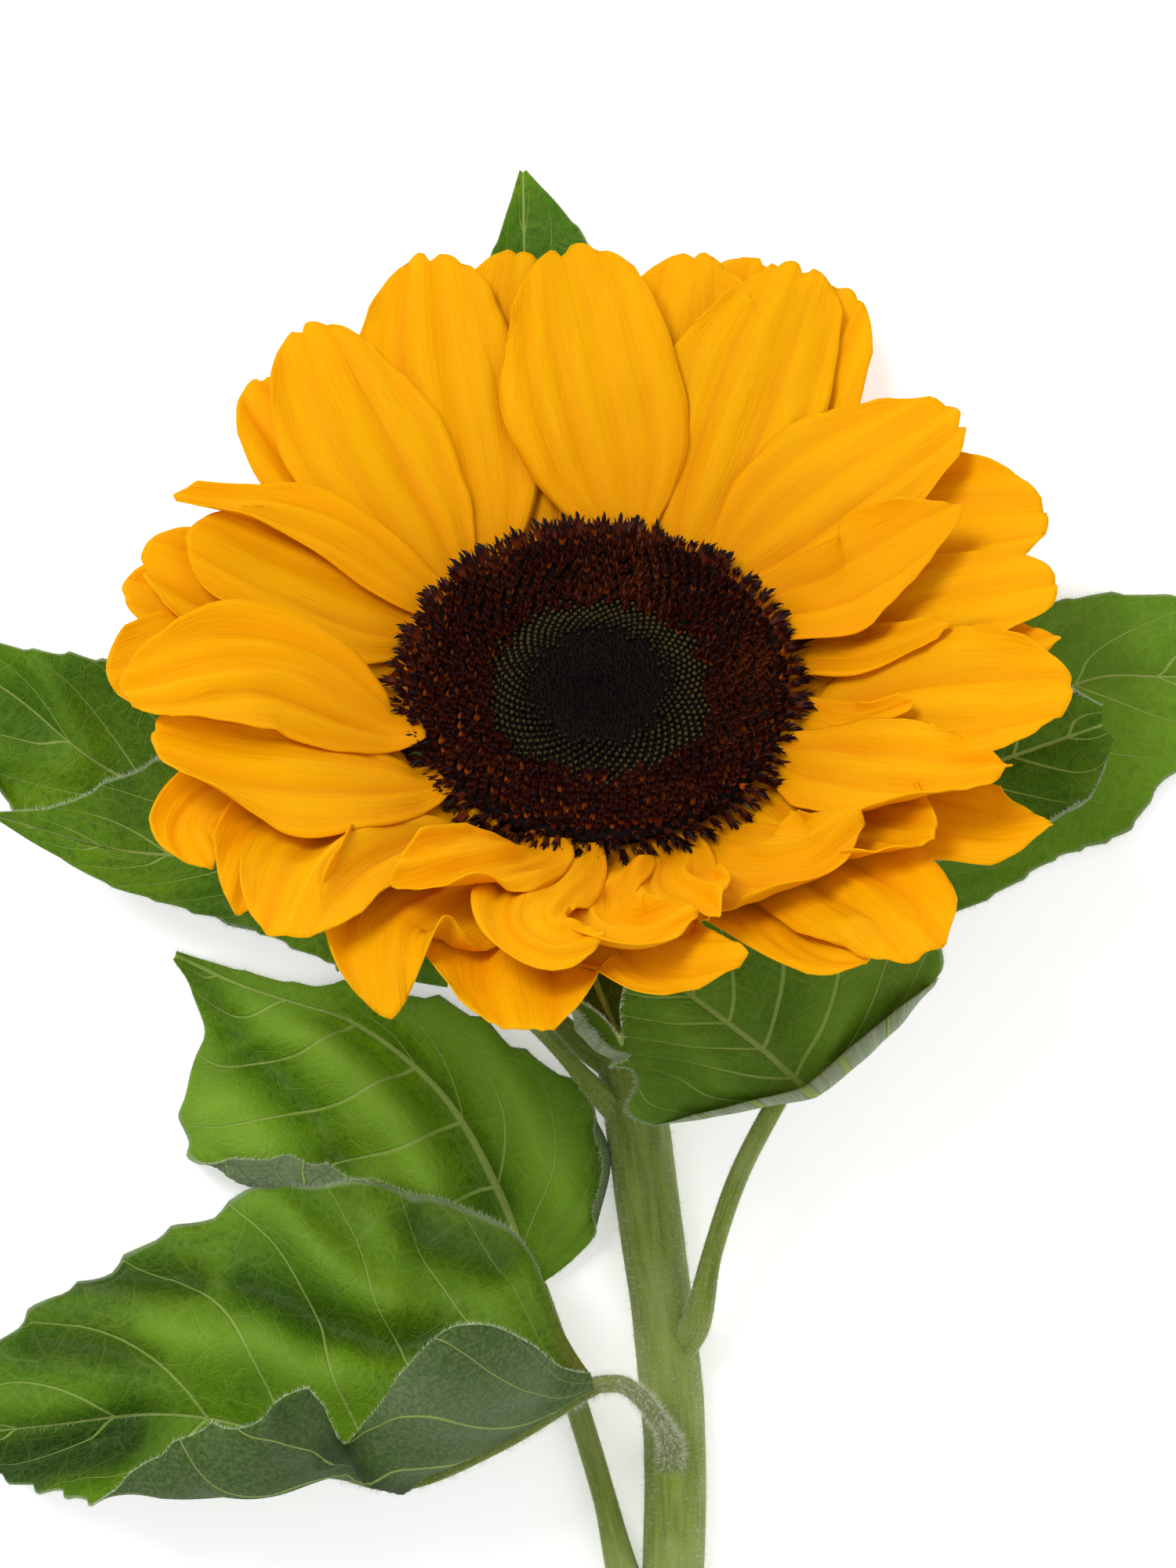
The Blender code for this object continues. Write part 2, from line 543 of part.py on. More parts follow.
def turned(name, profile, finish, parent):
    """A piece spun about its frame's z axis from its profile of (radius, height)."""
    builder = bmesh.new()
    line = [builder.verts.new(Vector((radius, 0, height)) * MM) for radius, height in profile]
    edges = [builder.edges.new(pair) for pair in zip(line, line[1:])]
    full_turn = dict(cent=(0, 0, 0), axis=(0, 0, 1), angle=math.tau, steps=TURNED_SIDES, use_merge=True)
    bmesh.ops.spin(builder, geom=line + edges, use_duplicate=False, **full_turn)
    bmesh.ops.remove_doubles(builder, verts=builder.verts, dist=MERGE_DISTANCE)
    bmesh.ops.triangulate(builder, faces=builder.faces)
    return placed(name, builder, finish, parent)


def stem(finish, parent):
    """A round tube along the stem's path, square to the head at one end and cut on a slant at the other."""
    flat = math.cos(math.pi / STEM_SIDES)
    stations = [Vector((x, y, z or radius * flat + STEM_REST_GAP, radius)) for x, y, z, radius in STEM_PATH]
    path = [station.to_3d() for station in stations]
    rings = []
    for i in range(STEM_RINGS + 1):
        place = i / STEM_RINGS
        middle = along(path, place)
        radius = along(stations, place)[3]
        tilt = math.radians(FACE_TILT)
        ahead = tangent(path, place) if i else Vector((0, -math.sin(tilt), -math.cos(tilt)))
        side = ahead.cross(Vector((0, 0, 1))).normalized()
        over = side.cross(ahead)
        ring = []
        for k in range(STEM_SIDES):
            angle = math.tau * k / STEM_SIDES
            point = middle + (side * math.cos(angle) + over * math.sin(angle)) * radius
            if i == STEM_RINGS:
                point += ahead * (point - middle).dot(over) * math.tan(math.radians(CUT_SLANT))
            ring.append(point)
        rings.append(ring)
    points = [point for ring in rings for point in ring]
    triangles = []
    for i in range(STEM_RINGS):
        for k in range(STEM_SIDES):
            a, b = i * STEM_SIDES + k, i * STEM_SIDES + (k + 1) % STEM_SIDES
            c, d = b + STEM_SIDES, a + STEM_SIDES
            triangles += [(a, b, c), (a, c, d)]
    last = STEM_RINGS * STEM_SIDES
    for k in range(1, STEM_SIDES - 1):
        triangles.append((0, k + 1, k))
        triangles.append((last, last + k, last + k + 1))
    return solid("stem", points, triangles, finish, parent)


def build_leaves(finish, parent):
    """The leaves, each laid over the ones before it. Returns the skins by name."""
    pile = Pile()
    skins = {}
    for name, leaf in LEAVES.items():
        rows = settle(leaf_rows(leaf), pile, lambda point: 0.0, len(PETIOLE_STATIONS))
        points, triangles = skin(rows)
        pile.add(points, triangles)
        skins[name] = (points, triangles)
        solid(name, points, triangles, finish, parent)
    return skins


def build_head(leaf_skins, face):
    """The disc, the receptacle, the bracts and the petals, in the head frame."""
    tilt = math.radians(FACE_TILT)
    to_head = (Matrix.Translation((0, 0, FACE_HEIGHT)) @ Matrix.Rotation(-tilt, 4, "X")).inverted()
    turned("disc", DISC_PROFILE, material("disc"), face)
    green = material("green")
    turned("receptacle", RECEPTACLE_PROFILE, green, face)
    pile = Pile()
    for name in LEAVES_UNDER_PETALS:
        points, triangles = leaf_skins[name]
        pile.add([to_head @ point for point in points], triangles)

    def ground(point):
        """Height in the head frame at which the surface under the plant is met."""
        return (point.y * math.sin(tilt) - FACE_HEIGHT) / math.cos(tilt)

    for index in range(BRACT_COUNT):
        rows = settle(bract_rows(index), pile, ground, 1)
        points, triangles = skin(rows)
        pile.add(points, triangles)
        solid(f"bract_{index + 1}", points, triangles, green, face)
    yellow = material("petal")
    for index, petal in enumerate(PETALS):
        rows = settle(petal_rows(*petal), pile, ground, 1)
        points, triangles = skin(rows)
        pile.add(points, triangles)
        solid(f"petal_{petal[0]}_{index + 1:02d}", points, triangles, yellow, face)


def main():
    clear_scene()
    plant = empty_frame("plant_frame")
    plant.location = (ORIGIN[0] * MM, ORIGIN[1] * MM, 0)
    face = empty_frame("head_frame", plant)
    face.location = (0, 0, FACE_HEIGHT * MM)
    face.rotation_euler = (-math.radians(FACE_TILT), 0, 0)
    stem(material("stem"), plant)
    skins = build_leaves(material("leaf"), plant)
    build_head(skins, face)


main()
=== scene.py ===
# %% [markdown]
# # A cut sunflower, laid on a table
#
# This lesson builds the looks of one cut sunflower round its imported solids. The solids say where every
# petal, leaf and stem lies. Here each of them gets its real surface: thin ribbed petals, toothed and veined
# leaves, over two thousand florets in spirals, and the pale hairs of the stem.
#
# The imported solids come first, because every later size and place is measured from them.

import math
import random

import bmesh
import bpy
import numpy as np
from mathutils import Matrix, Vector, noise
from mathutils.bvhtree import BVHTree


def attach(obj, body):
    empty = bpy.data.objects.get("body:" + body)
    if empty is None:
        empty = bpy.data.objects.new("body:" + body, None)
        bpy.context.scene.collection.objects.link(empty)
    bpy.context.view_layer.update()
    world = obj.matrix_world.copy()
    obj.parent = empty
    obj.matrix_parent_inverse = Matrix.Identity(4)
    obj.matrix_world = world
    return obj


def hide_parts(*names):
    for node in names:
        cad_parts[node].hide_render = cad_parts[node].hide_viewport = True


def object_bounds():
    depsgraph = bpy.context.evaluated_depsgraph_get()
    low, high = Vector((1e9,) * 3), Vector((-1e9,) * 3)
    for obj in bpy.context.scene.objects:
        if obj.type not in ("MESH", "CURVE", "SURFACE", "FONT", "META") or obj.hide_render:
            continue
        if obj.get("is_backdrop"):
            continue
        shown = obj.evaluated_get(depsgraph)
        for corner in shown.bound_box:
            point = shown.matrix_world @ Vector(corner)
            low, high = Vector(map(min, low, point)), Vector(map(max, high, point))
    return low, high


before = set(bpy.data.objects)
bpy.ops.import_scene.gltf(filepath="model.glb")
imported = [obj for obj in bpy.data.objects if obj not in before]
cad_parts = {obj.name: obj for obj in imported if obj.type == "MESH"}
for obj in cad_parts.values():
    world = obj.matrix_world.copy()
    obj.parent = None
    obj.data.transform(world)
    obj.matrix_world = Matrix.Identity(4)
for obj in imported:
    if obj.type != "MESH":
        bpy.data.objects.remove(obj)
cad_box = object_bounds()
MM = 0.001
ROOT = "root"
print(len(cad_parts), "solids in", cad_box)

# %% [markdown]
# ## The head's own frame
#
# The flower lies on its back, and its face leans back from straight up. Petals and florets could be placed
# in the table's own axes, but they are far easier to describe round the face's middle. So the head gets a
# frame of its own: its origin is the middle of the disc, and its z axis leaves the face. The disc's solid is
# turned about that axis, so the mean of its corners lies on the axis, and the highest corner beside the axis
# is the middle of the face.

# %% The head frame, read from the disc
FACE_TILT = math.radians(35)
BESIDE_AXIS = 1 * MM
face_normal = Vector((0, math.sin(FACE_TILT), math.cos(FACE_TILT)))
disc_corners = [v.co.copy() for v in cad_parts["disc"].data.vertices]
disc_mean = sum(disc_corners, Vector()) / len(disc_corners)
axis_heights = [
    (corner - disc_mean).dot(face_normal)
    for corner in disc_corners
    if (corner - disc_mean).cross(face_normal).length < BESIDE_AXIS
]
head_centre = disc_mean + face_normal * max(axis_heights)
to_head = Matrix.Translation(head_centre) @ Matrix.Rotation(-FACE_TILT, 4, "X")
plant_origin = Vector((head_centre.x, head_centre.y, 0))
print("the disc's middle is at", [round(value, 5) for value in head_centre])


def head_point(azimuth, radius, height):
    """A point given in millimetres round the disc, clockwise from the top of the head."""
    angle = math.radians(azimuth)
    return to_head @ (Vector((radius * math.sin(angle), radius * math.cos(angle), height)) * MM)


def plant_point(x, y, z):
    """A point given in millimetres from the spot on the table below the disc's middle."""
    return plant_origin + Vector((x, y, z)) * MM


# %% [markdown]
# ## Camera, table and light
#
# The camera looks straight down on the laid flower, so the face is seen as it would be in a vase, a little
# from below. The table is plain and white. One hard lamp would throw the petals' shadows across each other.
# Broad soft lights and a bright world leave hardly any shadow, as in a light tent, and the Standard view
# transform keeps a petal's full yellow.

# %% The camera
CAMERA_FROM_DISC = Vector((-1.5, -15.1, 700.0)) * MM
scene = bpy.context.scene


def add_object(name, data):
    """A new object at the origin."""
    obj = bpy.data.objects.new(name, data)
    scene.collection.objects.link(obj)
    return obj


camera = add_object("camera", bpy.data.cameras.new("camera"))
camera.data.lens = 110
camera.data.sensor_width = 36
camera.data.clip_start = 0.05
camera.location = head_centre + CAMERA_FROM_DISC
scene.camera = camera
scene.view_settings.view_transform = "Standard"
print("the camera is", CAMERA_FROM_DISC.z, "m above the disc")

# %% The table
TABLE_HALF = 3.0
TABLE_GLOW = 0.42


def mesh_of(builder, name, *finishes):
    """Turns a bmesh into a smooth-shaded mesh with its finishes."""
    mesh = bpy.data.meshes.new(name)
    builder.to_mesh(mesh)
    builder.free()
    mesh.shade_smooth()
    for finish in finishes:
        mesh.materials.append(finish)
    return mesh


table_paint = bpy.data.materials.new("table_white")
table_paint.use_nodes = True
table_shader = table_paint.node_tree.nodes["Principled BSDF"]
table_shader.inputs["Base Color"].default_value = (0.93, 0.93, 0.93, 1)
table_shader.inputs["Emission Color"].default_value = (1, 1, 1, 1)
table_shader.inputs["Emission Strength"].default_value = TABLE_GLOW
table_shader.inputs["Roughness"].default_value = 0.9
table_shader.inputs["Specular IOR Level"].default_value = 0.1
table_builder = bmesh.new()
bmesh.ops.create_grid(table_builder, x_segments=2, y_segments=2, size=TABLE_HALF)
table = add_object("table", mesh_of(table_builder, "table", table_paint))
table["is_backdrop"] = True
print("a table", 2 * TABLE_HALF, "m wide")

# %% The lights
WORLD_LIGHT = 0.6
world = bpy.data.worlds.new("tent")
world.use_nodes = True
world.node_tree.nodes["Background"].inputs["Color"].default_value = (1, 1, 1, 1)
world.node_tree.nodes["Background"].inputs["Strength"].default_value = WORLD_LIGHT
scene.world = world


def softbox(name, place, size, power):
    """A square area light that looks at the flower's head."""
    light = bpy.data.lights.new(name, "AREA")
    light.size = size
    light.energy = power
    obj = add_object(name, light)
    obj.location = place
    obj.rotation_euler = (head_centre - Vector(place)).to_track_quat("-Z", "Y").to_euler()


softbox("key_light", (-0.7, 1.0, 1.5), 0.7, 20)
softbox("fill_light", (0.9, -0.3, 1.4), 1.2, 4)

# %% [markdown]
# ## Helpers for finishes
#
# A finish is a Principled shader whose colour is mixed from a few patterns: noise, Voronoi cells, and
# numbers stored on the mesh. It could be wired by hand in the shader editor, but a plant needs eleven
# finishes that share most of their patterns. The class below adds one node for each call and returns its
# output, so that a finish reads like a short recipe. Numbers that are the same all over are set on the
# shader's own sockets.


# %% The finish class
class Finish:
    """A material under construction; each method adds one node and returns its output socket."""

    def __init__(self, name, **sockets):
        self.material = bpy.data.materials.new(name)
        self.material.use_nodes = True
        self.nodes = self.material.node_tree.nodes
        self.links = self.material.node_tree.links
        self.shader = self.nodes["Principled BSDF"]
        for socket, value in sockets.items():
            self.shader.inputs[socket.replace("_", " ")].default_value = value

    def put(self, socket, value):
        """Links a node's output to a socket, or sets the socket to a plain value."""
        if isinstance(value, bpy.types.NodeSocket):
            self.links.new(value, socket)
        else:
            socket.default_value = value

    def stored(self, name):
        """A number stored on the mesh."""
        found = self.nodes.new("ShaderNodeAttribute")
        found.attribute_name = name
        return found.outputs["Fac"]

    def place(self):
        """The point's place on the object."""
        return self.nodes.new("ShaderNodeTexCoord").outputs["Object"]

    def combine(self, x, y, z=0.0):
        node = self.nodes.new("ShaderNodeCombineXYZ")
        for socket, value in zip(node.inputs, (x, y, z)):
            self.put(socket, value)
        return node.outputs["Vector"]

    def calc(self, operation, first, second=0.0, third=0.0):
        node = self.nodes.new("ShaderNodeMath")
        node.operation = operation
        for socket, value in zip(node.inputs, (first, second, third)):
            self.put(socket, value)
        return node.outputs[0]

    def times(self, first, second):
        return self.calc("MULTIPLY", first, second)

    def flipped(self, mask):
        """1 where the mask is 0, and 0 where it is 1."""
        return self.calc("SUBTRACT", 1.0, mask)

    def rise(self, value, low, high):
        """0 below low, 1 above high, and a smooth step between them."""
        node = self.nodes.new("ShaderNodeMapRange")
        node.interpolation_type = "SMOOTHSTEP"
        self.put(node.inputs["Value"], value)
        self.put(node.inputs["From Min"], low)
        self.put(node.inputs["From Max"], high)
        return node.outputs["Result"]

    def noise(self, scale, detail=2.0, vector=None):
        node = self.nodes.new("ShaderNodeTexNoise")
        node.inputs["Scale"].default_value = scale
        node.inputs["Detail"].default_value = detail
        self.put(node.inputs["Vector"], vector or self.place())
        return node.outputs["Fac"]

    def cells(self, scale, vector):
        """How far a point is from the edge of its Voronoi cell."""
        node = self.nodes.new("ShaderNodeTexVoronoi")
        node.feature = "DISTANCE_TO_EDGE"
        node.inputs["Scale"].default_value = scale
        self.put(node.inputs["Vector"], vector)
        return node.outputs["Distance"]

    def over(self, colour, top, mask, strength=1.0):
        """A colour with another laid over it where the mask is; both stay as they are outside it."""
        node = self.nodes.new("ShaderNodeMix")
        node.data_type = "RGBA"
        self.put(node.inputs["Factor"], mask if strength == 1.0 else self.times(mask, strength))
        self.put(node.inputs[6], colour)
        self.put(node.inputs[7], top)
        return node.outputs[2]

    def bump(self, height, distance, strength):
        node = self.nodes.new("ShaderNodeBump")
        node.inputs["Strength"].default_value = strength
        node.inputs["Distance"].default_value = distance
        self.put(node.inputs["Height"], height)
        self.put(self.shader.inputs["Normal"], node.outputs["Normal"])

    def done(self, colour, roughness=None):
        """Connects the colour, and the roughness where it varies, and returns the material."""
        self.put(self.shader.inputs["Base Color"], colour)
        if roughness is not None:
            self.put(self.shader.inputs["Roughness"], roughness)
        return self.material


def rgb(red, green, blue):
    """A colour as seen on a screen, from 0 to 255, turned into the linear values that a shader takes."""
    linear = [((value / 255 + 0.055) / 1.055) ** 2.4 for value in (red, green, blue)]
    return (*linear, 1.0)


print("middle grey in linear values:", round(rgb(128, 128, 128)[0], 3))

# %% [markdown]
# ## Helpers for curves and tables
#
# A stalk or a petal follows a line that is known at only a few points, and its width is known at a few
# places along it. Blender's own curves could run through those points, but a shape that is moved point by
# point needs the place at any share of the way. So the line and the width are worked out here: both run
# smoothly through what is known, and the width never swings past it.


# %% Curves and tables
def along(points, place):
    """The point at a place from 0 to 1 of a smooth curve through all the points."""
    lengths = [0.0]
    for first, second in zip(points, points[1:]):
        lengths.append(lengths[-1] + (second - first).length)
    knots = [length / lengths[-1] for length in lengths]
    k = 0
    while k < len(points) - 2 and place > knots[k + 1]:
        k += 1

    def slope(i):
        before, after = max(i - 1, 0), min(i + 1, len(points) - 1)
        return (points[after] - points[before]) / (knots[after] - knots[before])

    span = knots[k + 1] - knots[k]
    u = (place - knots[k]) / span
    ahead = u * u * (3 - 2 * u)
    leave = u * (1 - u) * (1 - u) * span
    arrive = u * u * (u - 1) * span
    return points[k] * (1 - ahead) + points[k + 1] * ahead + slope(k) * leave + slope(k + 1) * arrive


def heading(points, place, step=0.01):
    return (along(points, min(place + step, 1)) - along(points, max(place - step, 0))).normalized()


def length_of(points):
    return sum((second - first).length for first, second in zip(points, points[1:]))


def smooth_table(table, place, column=1):
    """A value of a table, on a smooth curve through its lines that doesn't swing past them."""
    k = 0
    while k < len(table) - 2 and place > table[k + 1][0]:
        k += 1
    x0, x1 = table[k][0], table[k + 1][0]
    y0, y1 = table[k][column], table[k + 1][column]
    secant = (y1 - y0) / (x1 - x0)

    def slope(i):
        if i in (0, len(table) - 1):
            return secant
        before = (table[i][column] - table[i - 1][column]) / (table[i][0] - table[i - 1][0])
        after = (table[i + 1][column] - table[i][column]) / (table[i + 1][0] - table[i][0])
        return 0.0 if before * after <= 0 else 2 * before * after / (before + after)

    u = (place - x0) / (x1 - x0)
    ahead = u * u * (3 - 2 * u)
    bend = u * (1 - u) * (1 - u) * slope(k) + u * u * (u - 1) * slope(k + 1)
    return y0 * (1 - ahead) + y1 * ahead + bend * (x1 - x0)


def step_up(value, low, high):
    """0 below low, 1 above high, and a smooth step between them."""
    u = min(max((value - low) / (high - low), 0.0), 1.0)
    return u * u * (3 - 2 * u)


print("a quarter of the way up a step:", step_up(0.25, 0, 1))

# %% [markdown]
# ## Sheets
#
# A petal, a bract and a leaf blade are all the same thing to a modeller: a thin skin that lies somewhere in
# space. It could be drawn with curves and lofted, or sculpted. Here it starts as a flat grid from one bmesh
# operator, because the grid's own rows and columns say how far along and across each point is, and those two
# numbers are all that its outline, ribs and veins need. A Solidify modifier then gives it its thickness, and
# the second material slot goes to its underside.

# %% Sheets
class Sheet:
    """A grid of points, one row for each place along it, that becomes a thin piece."""

    def __init__(self, columns, rows, numbers):
        self.builder = bmesh.new()
        self.layers = {name: self.builder.verts.layers.float.new(name) for name in numbers}
        bmesh.ops.create_grid(self.builder, x_segments=columns, y_segments=rows, size=1.0)
        corners = sorted(self.builder.verts, key=lambda v: (round(v.co.y, 5), round(v.co.x, 5)))
        self.columns, self.rows = columns + 1, rows + 1
        self.grid = [corners[i * self.columns : (i + 1) * self.columns] for i in range(self.rows)]

    def places(self):
        """(row, column, along from 0 to 1, across from -1 to 1) of every point."""
        for i in range(self.rows):
            for j in range(self.columns):
                yield i, j, i / (self.rows - 1), 2 * j / (self.columns - 1) - 1

    def store(self, name, value_at):
        """Keeps a number for each point, for the shaders."""
        for i, j, t, s in self.places():
            self.grid[i][j][self.layers[name]] = value_at(t, s)

    def tree(self):
        self.builder.normal_update()
        return BVHTree.FromBMesh(self.builder)

    def finish(self, name, thickness, upper, under, up):
        """Makes the piece; its faces look along up, and its underside has its own material."""
        bmesh.ops.recalc_face_normals(self.builder, faces=self.builder.faces)
        self.builder.normal_update()
        facing = sum((face.normal for face in self.builder.faces), Vector())
        if facing.dot(up) < 0:
            bmesh.ops.reverse_faces(self.builder, faces=self.builder.faces)
        obj = add_object(name, mesh_of(self.builder, name, upper, under))
        wall = obj.modifiers.new("thickness", "SOLIDIFY")
        wall.thickness = thickness
        wall.offset = 0
        wall.material_offset = 1
        wall.use_even_offset = False
        return obj


# %% [markdown]
# ## Laying one sheet over others
#
# Petals and leaves lie on each other and never pass through each other. Cloth simulation could settle them,
# but it would lose the shape that each one has grown into. Instead the pieces are laid one by one, from the
# lowest up: a ray is cast down onto everything laid before, a point that would end below it is lifted, and
# the lift fades out smoothly round that point.

# %% What lies beneath
CAST_REACH = 0.3  # rays start this far out, in metres, which is more than the whole flower's height
SMOOTHING_PASSES = 60
LAYING_ROUNDS = 6
CLOSE_ENOUGH = 0.05  # a share of the clearance that may be missing


class Pile:
    """What lies beneath: each piece as a tree for ray casting, with its middle and its reach."""

    def __init__(self):
        self.trees = []

    def add(self, sheet):
        spots = [corner.co for row in sheet.grid for corner in row]
        self.add_tree(sheet.tree(), spots)

    def add_tree(self, tree, spots):
        low = Vector([min(spot[axis] for spot in spots) for axis in range(3)])
        high = Vector([max(spot[axis] for spot in spots) for axis in range(3)])
        self.trees.append((tree, (low + high) / 2, (high - low).length / 2))

    def top(self, point, up):
        """How far the highest surface is above a point, along up."""
        best = None
        for tree, middle, reach in self.trees:
            offset = middle - point
            if (offset - up * offset.dot(up)).length > reach:
                continue
            hit = tree.ray_cast(point + up * CAST_REACH, -up)[0]
            if hit is not None:
                height = (hit - point).dot(up)
                best = height if best is None else max(best, height)
        return best


# %% Laying a sheet down
def smooth_field(field, floor, passes, fixed):
    """Evens out a grid of numbers, never going under the floor where one is given."""
    field = np.array(field)
    for _ in range(passes):
        padded = np.pad(field, 1, mode="edge")
        near = (padded[:-2, 1:-1] + padded[2:, 1:-1] + padded[1:-1, :-2] + padded[1:-1, 2:]) / 4
        near[:fixed] = field[:fixed]
        field = near if floor is None else np.maximum(near, floor)
    return field


def lay_over(sheet, pile, up, clearance, fixed, floor_heights=None):
    """Lifts a sheet along up until it clears what lies beneath; its first rows, those fixed, stay put."""
    total = np.zeros((sheet.rows, sheet.columns))
    for _ in range(LAYING_ROUNDS):
        need = np.zeros_like(total)
        for i in range(fixed, sheet.rows):
            for j in range(sheet.columns):
                point = sheet.grid[i][j].co
                above = pile.top(point, up)
                if above is not None and above + clearance > 0:
                    need[i, j] = above + clearance
                if floor_heights is not None and point.z < floor_heights[i][j]:
                    need[i, j] = max(need[i, j], floor_heights[i][j] - point.z)
        if need.max() < clearance * CLOSE_ENOUGH:
            break
        lift = smooth_field(need, need, SMOOTHING_PASSES, fixed)
        total += lift
        for i in range(sheet.rows):
            for j in range(sheet.columns):
                sheet.grid[i][j].co += up * lift[i, j]
    return total.max()


print("a sheet is laid in", LAYING_ROUNDS, "rounds at most")

# %% [markdown]
# ## The petals' finish
#
# A ray petal is a thin yellow skin over fine parallel veins. Light that enters it spreads and comes out
# again a little redder, so the folds and the foot glow orange while the open blade stays pure yellow. That
# glow and the shade in the grooves are also painted into the colour: grooves and foot are painted orange.
# A painted picture of a petal would repeat on all forty. This finish works its pattern out from four
# numbers stored on each petal instead: how far along and across a point is, in millimetres, how deep in a
# groove it is, and the petal's own tone. The veins then follow every bend, and no two petals are alike.

# %% Petal yellow
PETAL_YELLOW = rgb(239, 159, 0)
PETAL_LEMON = rgb(242, 168, 0)
# an orange for the veins, also used for painted shade in the grooves and painted glow at the foot
PETAL_ORANGE_AND_SHADE = rgb(224, 132, 0)
PETAL_SHADE = rgb(214, 147, 4)


def petal_finish(name, open_colour, tip_colour):
    paint = Finish(
        name,
        Roughness=0.55,
        Specular_IOR_Level=0.03,
        Subsurface_Weight=0.18,
        Subsurface_Scale=0.0025,
        Subsurface_Radius=(1.0, 0.4, 0.04),
    )
    across, length, tone = (paint.stored(number) for number in ("across_mm", "along_mm", "tone"))
    vein_place = paint.combine(paint.times(across, 2.6), paint.times(length, 0.09), paint.times(tone, 7.0))
    veins = paint.noise(1.0, 3.0, vein_place)
    blotches = paint.noise(90, 2.0)
    colour = paint.over(open_colour, tip_colour, paint.calc("MULTIPLY_ADD", tone, 0.5, 0.5))
    colour = paint.over(colour, PETAL_ORANGE_AND_SHADE, paint.rise(veins, 0.45, 0.75), 0.26)
    colour = paint.over(colour, tip_colour, paint.rise(blotches, 0.45, 0.8), 0.25)
    # painted shade: the grooves are painted orange
    colour = paint.over(colour, PETAL_ORANGE_AND_SHADE, paint.stored("groove"), 0.75)
    # painted glow: the foot of the petal is painted orange
    foot = paint.flipped(paint.rise(length, 2.0, 28.0))
    colour = paint.over(colour, PETAL_ORANGE_AND_SHADE, foot, 0.6)
    paint.bump(veins, 0.00022, 0.7)
    return paint.done(colour)


petal_upper = petal_finish("petal_upper", PETAL_YELLOW, PETAL_LEMON)
petal_under = petal_finish("petal_under", PETAL_SHADE, PETAL_YELLOW)
print("two petal finishes")

# %% [markdown]
# ## The petals
#
# Forty ray petals stand round the disc in four rows. One petal could be modelled and copied with random
# changes, but a cut flower's petals have each bent their own way, so each is listed: the line down its
# middle, close to the line of its solid, and what makes it different from its neighbours. That is how wide
# and how cupped it is, how its tip ends, how many ribs it has and whether its yellow leans to orange or
# to lemon. The list runs from the petals underneath to those on top.

